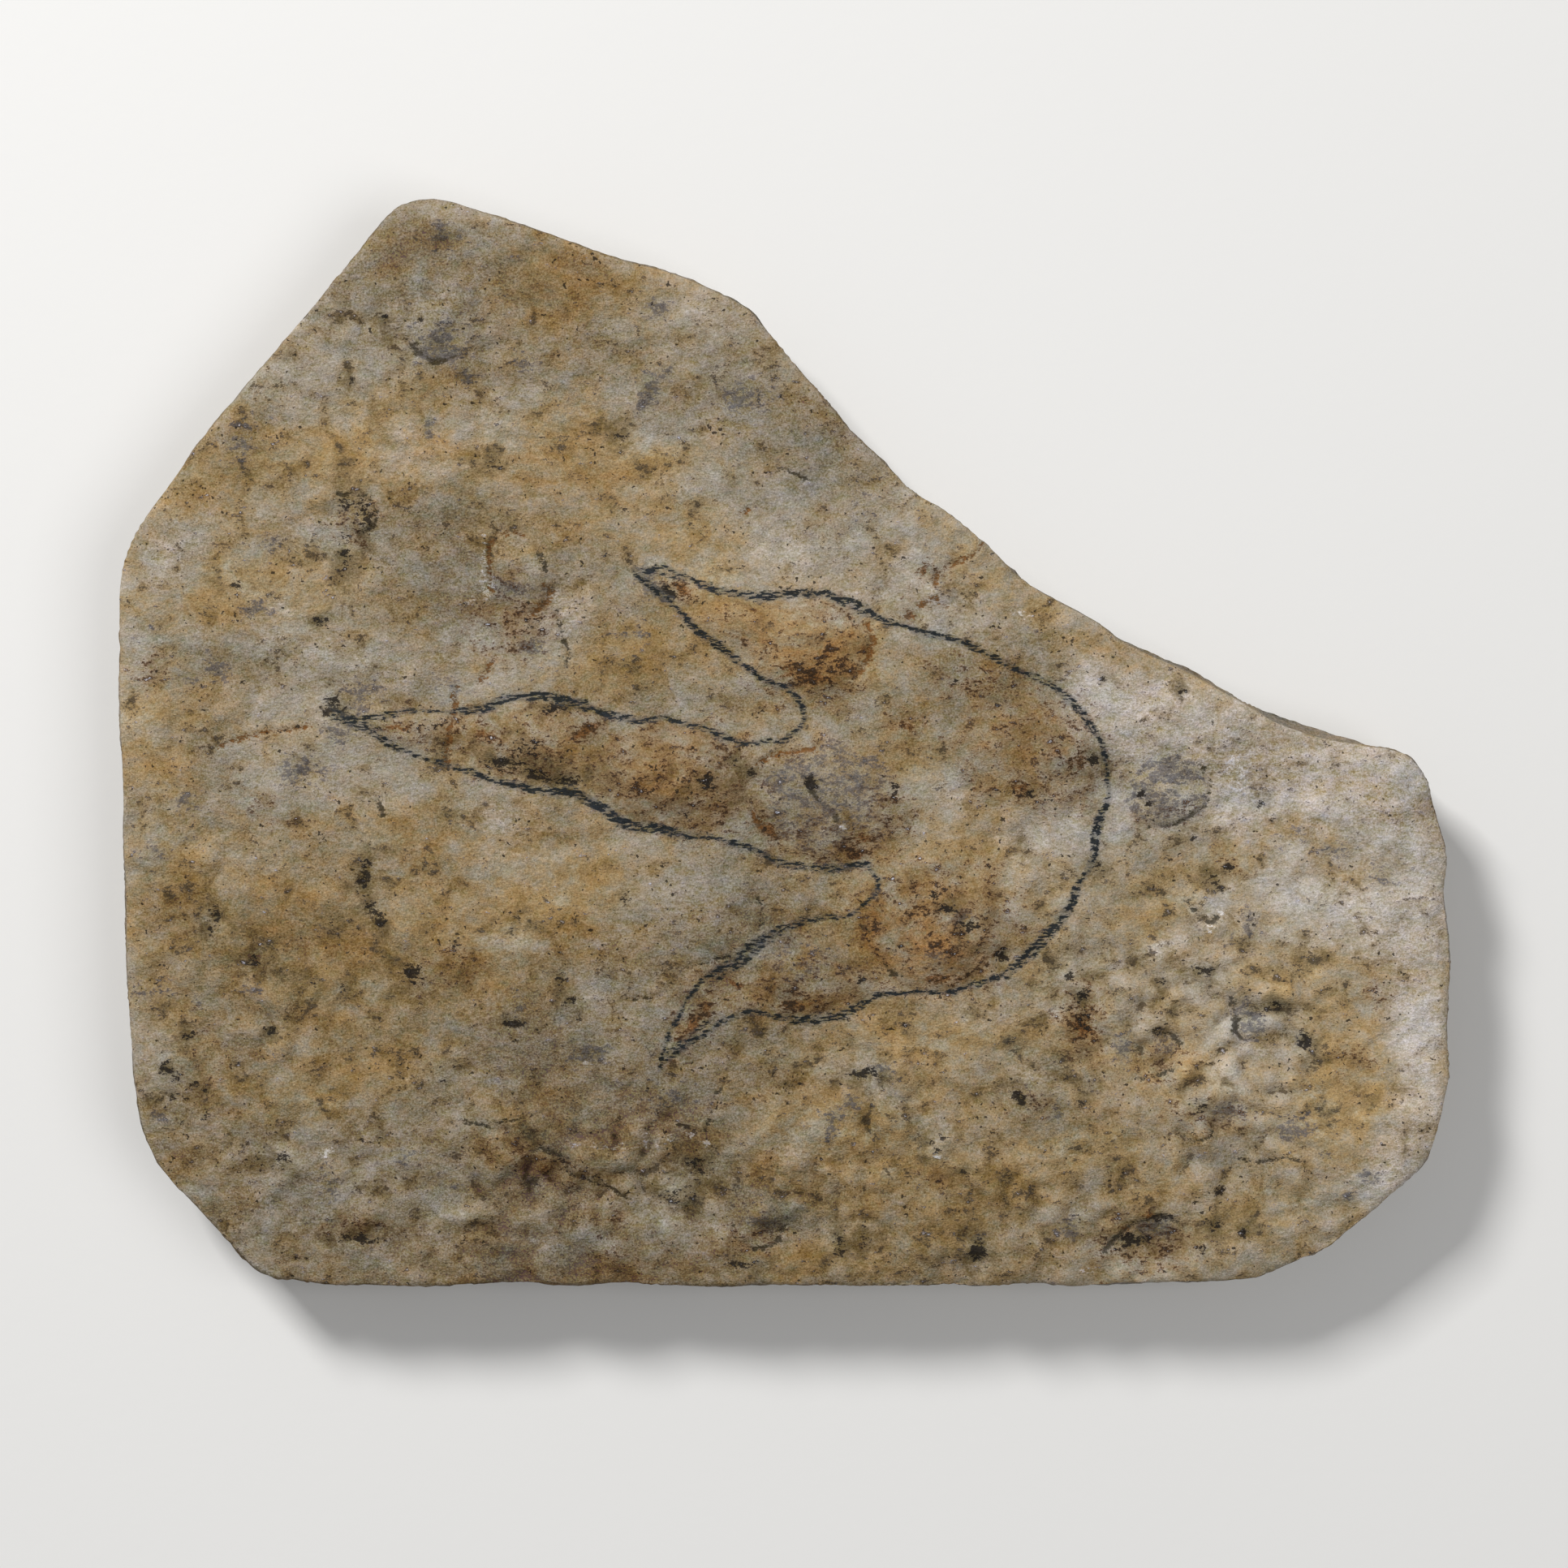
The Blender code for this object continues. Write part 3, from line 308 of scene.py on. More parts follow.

# Thin dark cracks, and dark rims that are painted shade on the shaded sides of knobs, ledges, pits and
# hollows: half width, then the points
DARK_LINES_MM = (
    (0.28, (-44.5, 35), (-43, 31)),
    (0.28, (-41.3, 24), (-40.5, 20), (-39.3, 17), (-39.5, 14)),
    (0.3, (5, -8.5), (6.6, -11), (8.6, -12.6), (10, -14.5)),
    # Painted shade on the right and lower rim of the round knob behind the heel: this line and the next
    (0.22, (72, -3.5), (75, -3.6), (77, -6), (77.2, -9), (76, -11.5), (73, -13.5)),
    (0.22, (73, -13.5), (70, -15), (66, -15)),
    (0.24, (-4.5, -28), (-4, -31), (-5, -34)),
    (0.22, (-10, -38.5), (-15, -40), (-19, -40.8)),
    (0.22, (-20.5, -43.5), (-23, -46), (-27, -46.2)),
    (0.24, (-25, -70), (-22, -67.5), (-19, -69), (-15, -70.3), (-13.5, -68), (-12.5, -64), (-10.7, -61)),
    # Painted shade under the large knob high on the left
    (0.45, (-68.5, 73.4), (-66, 70.6), (-62.5, 69.4), (-59.5, 70.4)),
    (0.32, (67, -52.3), (70.6, -53), (71.9, -55.6)),
    (0.28, (70, -59), (67, -60.5), (65, -60.7)),
    # Painted shade inside the left rim of a pit
    (0.5, (81, -46), (82, -50), (82, -52.5), (84, -54)),
    (0.4, (73, -28.5), (75, -31), (77, -32.3), (78.5, -31.5)),
    # Painted shade under the dome low on the right
    (0.24, (71, -70.5), (74, -72), (77, -71), (78, -69)),
    (0.18, (82, -75), (86, -76), (90.5, -75.2), (95, -76)),
    (0.3, (-1, 49.5), (1.5, 49.2), (4, 48)),
    (0.24, (-73.5, -10.5), (-72.8, -12.8)),
    (0.35, (18, -39), (18.4, -40.6), (20, -41.8)),
    (0.3, (-80.8, 45.2), (-76.4, 45), (-74, 42.4), (-74.4, 39.6), (-77, 38)),
    # Painted shade below the ledges low on the left: this line and the next
    (0.16, (-60, -68), (-57, -68.8), (-54, -69), (-49, -68.2), (-45, -67)),
    (0.22, (-45, -73), (-40, -75), (-39, -78), (-36, -79), (-33, -80), (-29, -82)),
    # Painted shade round the lower side of a low knob
    (0.26, (-9.5, -86.5), (-9, -89.5), (-5.5, -91.6), (-1.5, -90.4), (-0.4, -87.6)),
    # Painted shade inside the upper rim of the hollow low on the right
    (0.3, (58, -92), (61, -89), (64, -87), (69, -85.6), (72.5, -87.4)),
)

# Thin rust seams: half width, then the points
RUST_LINES_MM = (
    (0.3, (-102.5, -0.4), (-100, 0.4), (-97, 1.5), (-95, 2), (-92, 2.3), (-88, 2.8), (-86.5, 3.2)),
    (0.45, (-59.5, 10.2), (-60, 7), (-60, 5), (-60.8, 2), (-61, 0), (-61.3, -2), (-61, -4.2)),
    (0.4, (-52.6, 15.4), (-54, 13), (-55.2, 11.2)),
    (0.28, (-53.4, 37.2), (-53.6, 33), (-53, 28)),
    (0.35, (-53, 36.4), (-51.8, 38), (-49.2, 38.6), (-47.4, 37.6)),
    (0.45, (-43.5, 28.4), (-42, 27.4)),
    (0.5, (-42.8, 28), (-43.4, 25.6), (-45.6, 23.8)),
    (0.24, (30, 32), (32, 33.2), (34, 34), (36.2, 36.2)),
    (0.36, (27.6, 31.2), (27.2, 28.4)),
    (0.4, (24.6, 25), (27, 26.2), (29.2, 25)),
    (0.36, (-6, -12), (-5.2, -14), (-3.6, -15.8), (-1, -17.2)),
    (0.3, (-5, -3.6), (-2, -2.2), (2, -1.4), (5.4, -1)),
    (0.3, (-38.6, 1), (-36.4, 2), (-34, 3.6)),
    (0.26, (-8, 41.6), (-6.4, 42.6)),
    (0.35, (14.8, 21.8), (15.8, 18.8), (15.2, 15.4), (12.6, 12)),
)

# Pads of the track and two round knobs beside it: x, y, half length, half width, turn, brown, grey
PADS_MM = (
    (-44.5, 0.6, 12.5, 8, -6, 0.25, 0.2), (-20.5, -5.9, 13.2, 9.6, -12, 1, 0),
    (8.8, -10.5, 12.8, 10.8, -10, 0.5, 0.5), (-9.5, 21.5, 7.5, 5, -28, 0.5, 0),
    (3.4, 18, 11.6, 8.4, -4, 0.95, 0), (43.5, -1.5, 14, 10.8, -18, 0.45, 0),
    (27.5, -34.5, 12.6, 9.6, 6, 1, 0), (3, -42.3, 13, 6.8, 4, 0.5, 0.25),
    (69.5, -8.8, 7.4, 6.8, 0, 0, 0.55), (-47.6, 25, 6.6, 6.8, 0, 0.45, 0.3),
)

# Edge of a pad's stain and its brown rim, in pad sizes, with the rim's strength and where noise breaks it
PAD_EDGE = (1.06, 0.90)
PAD_RIM_PLACE = 0.95
PAD_RIM_WIDTH = 0.09
PAD_RIM_STRENGTH = 0.85
PAD_RIM_GAPS = (-0.35, 0.30)

# Longest edges of the fine mesh, in millimetres
FACE_EDGE = 1.30
SIDE_EDGE = 1.50
CRAYON_EDGE = 0.80
LINE_EDGE = 0.50

# Where those edges change, in millimetres: the face's least height, and beside the crayon and the lines
FACE_FROM = 15.0
CRAYON_BAND = 1.4
LINE_BAND = 0.9

# How far the gap to a line is measured, in millimetres, and the steps of a curve between two points
LINE_REACH = 5.0
CURVE_STEPS = 4

# What counts as one point or as the flat back, in millimetres
SAME_POINT = 0.001
FLAT_BACK = 0.01

# New points of the back: spacing in millimetres, then height of a row, scatter and clear rim in spacings
SEED = 5
BACK_SPACING = 2.7
BACK_ROW = math.sqrt(0.75)
BACK_SCATTER = 0.2
BACK_RIM = 0.6

# How the back is cut into triangles: inside its rim only, with points this near to each other taken as one
INSIDE_ONLY = 1
NEAR_POINTS = 1e-6

# Rounds of easing, and how far up a point has to look for the easing of the face
EDGE_ROUNDS = 3
FACE_ROUNDS = 7
HOLLOW_ROUNDS = 26
LEVEL_FACE = 0.93

# Where the face and the back begin: the upward or downward look, and the height in millimetres
FACE_LOOK = (0.45, 0.85)
FACE_ABOVE = 8.0
BACK_LOOK = (0.45, 0.90)
BACK_BELOW = 3.0

# Noise of the relief: the space between its layers, and how its octaves fade and shrink
LAYER_STEP = 17.0
OCTAVE_FALL = 0.8
OCTAVE_STEP = 2.1


class Ripple(NamedTuple):
    """One kind of relief: size across and height in millimetres, its own layer of noise, and octaves."""
    size: float
    height: float
    layer: int
    octaves: int = 1

    def at(self, places):
        """Smooth noise between about -1 and 1 at places in millimetres."""
        scaled = places / self.size
        scaled[:, 2] += LAYER_STEP * self.layer
        if self.octaves == 1:
            return np.array([noise.noise(place) for place in scaled.tolist()])
        return np.array([noise.fractal(place, OCTAVE_FALL, OCTAVE_STEP, self.octaves)
                         for place in scaled.tolist()])


# Pushes that give ovals natural outlines, and the breaks in the brown rims
WARPS = (Ripple(6.0, 1.5, 20), Ripple(6.0, 1.5, 21), Ripple(2.2, 0.6, 22), Ripple(2.2, 0.6, 23))
RIM_BREAKS = Ripple(6.0, 1.0, 11)

# Relief of the face; a level is taken off its noise, and calm stone keeps a share of the relief
SWELLS = Ripple(15.0, 0.50, 1, 2)
SWELL_LEVEL = 0.4
KNOBS = Ripple(8.0, 1.45, 8, 2)
KNOB_LEVEL = 0.9
KNOB_PATCHES = Ripple(24.0, 0.50, 9, 2)
PATCH_EDGE = (-0.30, 0.30)
CALM_SHARE = 0.28
BUMPS = Ripple(3.2, 0.40, 2, 2)
CRUMBS = Ripple(1.6, 0.11, 3)

# Grooves round the pads, in pad sizes, then dark spots and cracks, with depths in millimetres
GROOVE_PLACE = 1.06
GROOVE_WIDTH = 0.12
GROOVE_DEPTH = 0.18
SPOT_EDGE = (0.35, 0.75)
SPOT_DEPTH = 0.28
CRACK_REACH = 0.2
CRACK_WIDTH = 0.45
CRACK_DEPTH = 0.22
CEILING_ROOM = 0.5

# Broken beds of the sides: where each step of the noise starts and ends, and its depth
BEDS = Ripple(15.0, 1.0, 4, 2)
BED_PITCH = 1.7
BED_STEPS = ((-0.25, 0.10, 0.627), (0.15, 0.45, 0.3135))
FRACTURE = Ripple(2.4, 0.55, 5, 3)
SIDE_FADE = (18.0, 14.5)
SIDE_TOP_SHARE = 0.2
SIDE_PUSH = (1.0, 1.0, 0.35)

# Hollows of the back, and what is added to the noise of each
BACK_HOLLOWS = ((Ripple(19.0, 0.55, 6, 3), 0.25), (Ripple(4.0, 0.22, 7, 3), 0.4))

# Colours, linear
COOL_GREY = (0.306, 0.258, 0.193, 1.0)
GREIGE = (0.292, 0.232, 0.154, 1.0)
OCHRE = (0.304, 0.217, 0.112, 1.0)
DEEP_OCHRE = (0.286, 0.184, 0.074, 1.0)
PALE = (0.450, 0.388, 0.316, 1.0)
CREAM = (0.420, 0.345, 0.240, 1.0)
WHITE = (0.600, 0.550, 0.470, 1.0)
GREY_WASH = (0.178, 0.150, 0.117, 1.0)
BROWN_WASH = (0.215, 0.126, 0.052, 1.0)
ORANGE_WASH = (0.310, 0.160, 0.056, 1.0)
VIOLET_GREY = (0.078, 0.069, 0.060, 1.0)
OLIVE = (0.118, 0.094, 0.050, 1.0)
RUST = (0.190, 0.078, 0.020, 1.0)
BROWN = (0.096, 0.047, 0.016, 1.0)
BLOT = (0.058, 0.041, 0.020, 1.0)
UMBER = (0.034, 0.019, 0.008, 1.0)
NEAR_BLACK = (0.017, 0.013, 0.008, 1.0)
CRAYON_BLUE = (0.010, 0.013, 0.014, 1.0)
SMUDGE = (0.088, 0.088, 0.078, 1.0)
BED_GREY = (0.185, 0.160, 0.125, 1.0)
BED_TAN = (0.260, 0.195, 0.120, 1.0)
FLOOR_COLOUR = (0.780, 0.770, 0.750, 1.0)
SKY_COLOUR = (0.950, 0.970, 1.000, 1.0)

# From the coolest stone to the warmest
WARMTH_STOPS = ((0.08, COOL_GREY), (0.40, GREIGE), (0.70, OCHRE), (1.0, DEEP_OCHRE))

# Noises of the stone: size in millimetres, detail, roughness, distortion, stretch, and a turn in degrees
EVEN = (1.0, 1.0, 1.0)
STREAKED = (0.75, 1.2, 1.0)
HATCHED = (0.35, 1.4, 1.0)
BEDDED = (1.0, 1.0, 9.0)
NOISES = {
    "clouds": (24.0, 6.0, 0.70, 0.3, STREAKED),
    "hues": (17.0, 6.0, 0.70, 0.5, STREAKED),
    "tints": (8.0, 7.0, 0.78, 0.4, STREAKED),
    "blotches": (5.0, 5.0, 0.66, 0.4, EVEN),
    "flecks": (2.2, 4.0, 0.70, 0.0, STREAKED),
    "crumbs": (0.85, 3.0, 0.80, 0.0, STREAKED),
    "specks": (0.9, 1.5, 0.60, 0.0, EVEN),
    "grain": (0.34, 2.0, 0.70, 0.0, EVEN),
    "parting": (14.0, 2.0, 0.50, 0.0, EVEN),
    "hatching": (0.62, 2.0, 0.60, 0.0, HATCHED, -35.0),
    "beds": (13.0, 5.0, 0.65, 0.0, BEDDED),
}
PAPER_NOISE = (3.0, 3.0, 0.55)

# Weighted sums by name of noises, marks and other sums; level is a plain number
MIXES = {
    "speckled": {"flecks": 2.8, "crumbs": 3.2},
    "stain": {"brown": 0.62, "rust": 0.22},
    "warmth": {"level": 0.46, "ochre": 0.46, "grey": -0.36, "pale": -0.10, "hues": 1.9, "blotches": 2.3,
               "flecks": 1.2, "crumbs": 0.8},
    "pad_speckle": {"level": 0.36, "blotches": 1.4, "flecks": 0.8},
    "bloom_share": {"level": 0.38, "knobbly": 0.20},
    "wobble": {"flecks": 1.5, "crumbs": 1.0, "blotches": 0.8},
    # The tone of the stone: random mottling, darker in the hollows as painted shade, and with the broad
    # painted light falloff
    "mottle": {"level": -0.01, "weather": 1.0, "clouds": 1.6, "blotches": -0.4, "flecks": 0.7,
               "crumbs": 1.2, "grain": 1.8, "hollow": -0.3},
    "red": {"level": 0.99, "tone": 0.88, "tints": 0.65},
    "green": {"level": 1.0, "tone": 1.0},
    "blue": {"level": 1.02, "tone": 1.30, "flecks": 0.75, "crumbs": 0.40, "tints": -0.9},
    "height": {"grain": 0.09, "crumbs": 0.20, "flecks": 0.45},
}

# Patterns: the sum at which each starts to show and the one at which it is full, then the sum's weights
PATTERNS = {
    "stained": (0.02, 0.14, {"stain": 1.0}),
    # Pale bleaching of the stone, with painted highlights on the lit tops of two knobs
    "bleached": (0.15, 1.10, {"pale": 1.05, "hues": -1.8, "clouds": 1.4, "crumbs": 0.7}),
    "orange": (0.80, 1.20, {"ochre": 1.0, "tints": 1.6, "blotches": 1.0}),
    "greyed": (0.22, 1.05, {"violet": 1.0, "blotches": 1.2, "flecks": 1.3, "crumbs": 0.9}),
    "warm_wash": (0.25, 0.70, {"ochre": 0.6, "rust": 0.4, "tints": 1.6}),
    "washed": (0.10, 0.95, {"brown": 1.0, "blotches": 2.4, "flecks": 1.0}),
    "bloom": (0.06, 0.24, {"tints": -1.0, "clouds": 0.5, "flecks": -0.4}),
    # Soft olive patches of the stone, darker still as painted shade in the hollows and over the knobbly
    # stone
    "shadowed": (0.05, 0.26, {"blotches": 1.0, "knobbly": 0.038, "halo": 0.20, "stained": -0.05,
                              "hollow": 0.10, "tints": 0.5, "flecks": 0.3}),
    # Painted shade: dark laid in the hollows of the knobbly stone, broken by crisp grains
    "grime": (0.38, 0.50, {"hollow": 0.8, "speckled": 0.45}),
    "rough_stone": (0.20, 0.70, {"knobbly": 1.0}),
    # Dark pepper of the stone, a little denser where the stone is knobbly as painted shade of the knobs
    "pepper": (0.175, 0.205, {"crumbs": 1.0, "flecks": 0.9, "blotches": 0.9, "knobbly": 0.016,
                              "pale": -0.05}),
    "violet_spots": (0.52, 0.66, {"violet": 1.05, "speckled": 0.8}),
    "rust_spots": (0.40, 0.60, {"rust": 0.9, "speckled": 0.6}),
    "rust_seams": (0.10, -0.30, {"rust_line": 1.0, "crumbs": 3.6, "flecks": 3.4}),
    "rust_browned": (-0.13, 0.01, {"crumbs": 1.0, "flecks": 0.8, "rust": -0.12}),
    "brown_stains": (0.46, 0.66, {"stain": 1.0, "speckled": 1.0}),
    "umber_stains": (0.70, 0.86, {"stain": 1.0, "speckled": 1.0}),
    "dark_spots": (0.51, 0.61, {"dark": 0.9, "violet": 0.28, "speckled": 0.6}),
    # Cracks, and rims that are painted shade on the shaded sides of knobs, ledges, pits and hollows
    "dark_cracks": (0.10, -0.35, {"dark_line": 1.0, "crumbs": 3.0, "flecks": 3.2, "blotches": 2.0}),
    # Dark specks of the stone, a little denser where the stone is knobbly as painted shade of the knobs
    "dark_specks": (0.21, 0.24, {"specks": 1.0, "knobbly": 0.006, "tints": 0.7}),
    "whitened": (0.50, 0.74, {"white": 1.0, "speckled": 0.7}),
    "parted": (-0.06, 0.08, {"parting": 1.0}),
    "smudged": (-0.50, 0.35, {"stroke": 1.0, "flecks": 1.2}),
    "waxed": (0.17, 0.37, {"stroke": 1.0, "hatching": 4.4, "grain": 1.0}),
    "touched": (-0.25, 0.10, {"stroke": 1.0}),
    "tan_beds": (-0.14, 0.14, {"beds": 1.0}),
    "ochre_beds": (0.06, 0.28, {"hues": 1.0, "flecks": 0.6}),
    "on_face": (0.25, 0.75, {"face": 1.0}),
}

# Patterns of which the strongest shows, each with its strength
STRONGEST = {
    "rusted": {"rust_spots": 1.0, "rust_seams": 1.0},
    "blackened": {"dark_spots": 1.0, "dark_cracks": 0.85, "dark_specks": 0.95},
}

# Colours that turn into another where a pattern shows
TINTS = {
    "warm_brown": ("warm_wash", BROWN_WASH, ORANGE_WASH),
    "brown_rust": ("rust_browned", RUST, BROWN),
}

# What lies over the stone, lowest first: colour, how much it covers, and the patterns that it shows in
LAYERS = (
    # Pale over bleaching, and as painted highlights on two knobs
    (PALE, 0.90, "bleached"),
    (ORANGE_WASH, 0.20, "orange"),
    (GREY_WASH, 0.74, "greyed"),
    ("warm_brown", 1.00, "pads", "pad_speckle"),
    ("warm_brown", 0.66, "washed"),
    (CREAM, 1.00, "bloom", "bloom_share"),
    # Olive over the stone's soft patches, and as painted shade in the hollows
    (OLIVE, 0.68, "shadowed"),
    # Painted shade: dark olive brown laid in the hollows where the stone is knobbly
    (BLOT, 0.80, "grime", "rough_stone"),
    (BLOT, 0.85, "pepper"),
    # Violet grey over its spots, some of them painted shade on knobs and a hollow
    (VIOLET_GREY, 0.70, "violet_spots"),
    ("brown_rust", 0.88, "rusted"),
    (BROWN, 0.84, "brown_stains", "stained"),
    (UMBER, 0.94, "umber_stains", "stained"),
    # Near black over dark spots, cracks and specks, and as painted shade on the shaded rims and sides of a
    # pad, knobs, ledges, pits and hollows
    (NEAR_BLACK, 0.93, "blackened"),
    # White over scratches and grains, and as two painted highlights
    (WHITE, 0.62, "whitened"),
    (SMUDGE, 0.46, "smudged"),
    (CRAYON_BLUE, 0.98, "waxed", "touched"),
)
OCHRE_BED_COVER = 0.55

# The crayon's stroke: gaps in millimetres, and how it weakens away from its middle
PARTING_WIDTH = 0.32
SECOND_GAP = 0.15
SECOND_PRESSURE = 0.85
STROKE_FALL = 0.95

# Sockets of the Mix node where it mixes colours
MIX_AMOUNT, MIX_FIRST, MIX_SECOND = 0, 6, 7
MIX_RESULT = 2

# Lowest light and dark over the stone
TONE_FLOOR = -0.75
BLUE_FLOOR = 0.30

# What the shaders take; the shines are taken off the roughness
STONE_ROUGHNESS = 0.93
WAX_SHINE = 0.25
GRAIN_SHINE = 0.20
PAPER_ROUGHNESS = 0.90
STONE_BUMP = 1.0
PAPER_BUMP = 0.02
SPECULAR = 0.2

# Floor and lights, in metres; a light is its name, place, aim, size and power
FLOOR_REACH = 4.0
LIGHTS = (
    ("key", (-0.80, 1.00, 1.05), (0.0, 0.02, 0.0), 0.40, 27.0),
    ("fill", (0.80, -0.20, 1.25), (0.03, 0.0, 0.0), 0.90, 7.0),
)
SKY_STRENGTH = 0.20

# Camera: lens and sensor in millimetres, and what it looks at in metres
LENS = 85.0
SENSOR = 36.0
VIEW_WIDTH = 0.285
VIEW_CENTRE = (-0.0001, -0.0073)
OUTLINE_HEIGHT = 0.016


def smooth_step(low, high, values):
    """0 at low, 1 at high, smooth between, and level beyond."""
    share = np.clip((values - low) / (high - low), 0.0, 1.0)
    return share * share * (3.0 - 2.0 * share)


def bell(gap, width=1.0):
    """1 where the gap is 0, falling softly away over the width."""
    return np.exp(-(gap / width) ** 2)


def on_plane(places):
    """Flat places with a height of 0 added."""
    return np.column_stack([places, np.zeros(len(places))])


def merged_slab():
    """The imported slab's points and triangles with its doubled points merged."""
    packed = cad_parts["footprint_slab"].data
    order = [i for polygon in packed.polygons for i in polygon.vertices]
    corners = np.array([tuple(packed.vertices[i].co) for i in order])
    grid = np.round(corners / (SAME_POINT * MM)).astype(np.int64)
    keys, inverse = np.unique(grid, axis=0, return_inverse=True)
    return keys * (SAME_POINT * MM), inverse.reshape(-1, 3)


def without_back(points, triangles):
    """The face and sides alone: the flat back is made again with evener triangles."""
    flat = (points[triangles][:, :, 2] < FLAT_BACK * MM).all(axis=1)
    return triangles[~flat]


def triangle_sides(triangles):
    """The three sides of every triangle, as pairs of points in its own direction."""
    return np.concatenate([triangles[:, (0, 1)], triangles[:, (1, 2)], triangles[:, (2, 0)]])


def edge_list(triangles):
    """Every edge once, and the three edges of each triangle."""
    edges, inverse = np.unique(np.sort(triangle_sides(triangles), axis=1), axis=0, return_inverse=True)
    return edges, inverse.reshape(3, -1).T


def edge_limit(centres):
    """The longest edge allowed at a place: short on the drawn line and the cracks."""
    places = centres[:, :2] / MM
    on_face = centres[:, 2] > FACE_FROM * MM
    limit = np.where(on_face, FACE_EDGE, SIDE_EDGE)
    limit[on_face & (path_gap(places, CRAYON_LOOP) < CRAYON_BAND)] = CRAYON_EDGE
    limit[on_face & (lines_gap(places, DARK_LINES_MM + RUST_LINES_MM) < LINE_BAND)] = LINE_EDGE
    return limit * MM


def turned(triangles, middles, first):
    """Corners a, b, c and the middles of ab, bc, ca, with each triangle turned to its first corner."""
    order = (first[:, None] + np.arange(3)) % 3
    return *np.take_along_axis(triangles, order, axis=1).T, *np.take_along_axis(middles, order, axis=1).T


def split_once(points, triangles):
    """Cuts each edge that is longer than its local limit in two."""
    edges, triangle_edges = edge_list(triangles)
    ends = points[edges]
    centres = ends.mean(axis=1)
    long = np.linalg.norm(ends[:, 0] - ends[:, 1], axis=1) > edge_limit(centres)
    if not long.any():
        return points, triangles, False
    new_point = np.full(len(edges), -1)
    new_point[long] = len(points) + np.arange(long.sum())
    points = np.concatenate([points, centres[long]])
    middles = new_point[triangle_edges]
    cuts = (middles >= 0).sum(axis=1)
    none, one, two, three = (cuts == count for count in range(4))

    first = np.argmax(middles[one] >= 0, axis=1)
    a, b, c, m, _, _ = turned(triangles[one], middles[one], first)
    parts = [triangles[none], np.column_stack([a, m, c]), np.column_stack([m, b, c])]

    first = (np.argmin(middles[two], axis=1) + 1) % 3
    a, b, c, m, n, _ = turned(triangles[two], middles[two], first)
    diagonals = points[a] - points[n], points[m] - points[c]
    one_way, other_way = (np.linalg.norm(diagonal, axis=1)[:, None] for diagonal in diagonals)
    parts += [np.column_stack([m, b, n]),
              np.where(one_way < other_way, np.column_stack([a, m, n]), np.column_stack([a, m, c])),
              np.where(one_way < other_way, np.column_stack([a, n, c]), np.column_stack([m, n, c]))]

    a, b, c = triangles[three].T
    m, n, k = middles[three].T
    parts += [np.column_stack(corners) for corners in ((a, m, k), (m, b, n), (k, n, c), (m, n, k))]
    return points, np.concatenate(parts), True


def eased(path):
    """A path's points with a smooth curve drawn through them."""
    points = np.array(path)
    ends = np.concatenate([points[:1], points, points[-1:]])
    share = np.linspace(0.0, 1.0, CURVE_STEPS, endpoint=False)[:, None]
    pieces = [0.5 * (2.0 * start + (end - before) * share
                     + (2.0 * before - 5.0 * start + 4.0 * end - after) * share ** 2
                     + (3.0 * start - before - 3.0 * end + after) * share ** 3)
              for before, start, end, after in zip(ends, ends[1:], ends[2:], ends[3:])]
    return np.concatenate(pieces + [points[-1:]])


def path_gap(places, path):
    """Distance in millimetres from each place to a path, up to a reach."""
    order = np.argsort(places[:, 0])
    ranked = places[order]
    gap = np.full(len(places), LINE_REACH)
    for start, end in zip(path[:-1], path[1:]):
        span = (min(start[0], end[0]) - LINE_REACH, max(start[0], end[0]) + LINE_REACH)
        first, last = np.searchsorted(ranked[:, 0], span)
        near = ranked[first:last] - start
        run = end - start
        share = np.clip((near @ run) / (run @ run), 0.0, 1.0)
        gap[first:last] = np.minimum(gap[first:last], np.linalg.norm(near - share[:, None] * run, axis=1))
    unranked = np.empty_like(gap)
    unranked[order] = gap
    return unranked


def signed_gap(places, path):
    """Distance to a closed path, negative inside it."""
    x, y = places.T
    inside = np.zeros(len(places), dtype=bool)
    for (x0, y0), (x1, y1) in zip(path[:-1], path[1:]):
        if y0 != y1:
            crosses = (y0 > y) != (y1 > y)
            inside ^= crosses & (x < x0 + (y - y0) * (x1 - x0) / (y1 - y0))
    return np.where(inside, -1.0, 1.0) * path_gap(places, path)


def lines_gap(places, lines):
    """Distance to the edge of the nearest thin line, negative on the line."""
    return np.min([path_gap(places, eased(line)) - half_width for half_width, *line in lines], axis=0)


def neighbour_mean(values, edges):
    """The mean of each point's neighbours, column by column."""
    a, b = edges.T
    count = np.bincount(edges.ravel(), minlength=len(values))
    sums = [np.bincount(a, column[b], len(values)) + np.bincount(b, column[a], len(values))
            for column in values.T]
    return np.column_stack(sums) / count[:, None]


def blurred(values, edges, rounds, held=None):
    """Values eased towards their neighbours, with the held points left as they are."""
    start = values
    for _ in range(rounds):
        values = 0.5 * (values + neighbour_mean(values, edges))
        if held is not None:
            values[held] = start[held]
    return values


def rim_loop(triangles):
    """The open rim of the sides at the back, in order."""
    known = set(map(tuple, triangle_sides(triangles).tolist()))
    following = {a: b for a, b in known if (b, a) not in known}
    loop = [min(following)]
    while following[loop[-1]] != loop[0]:
        loop.append(following[loop[-1]])
    return loop


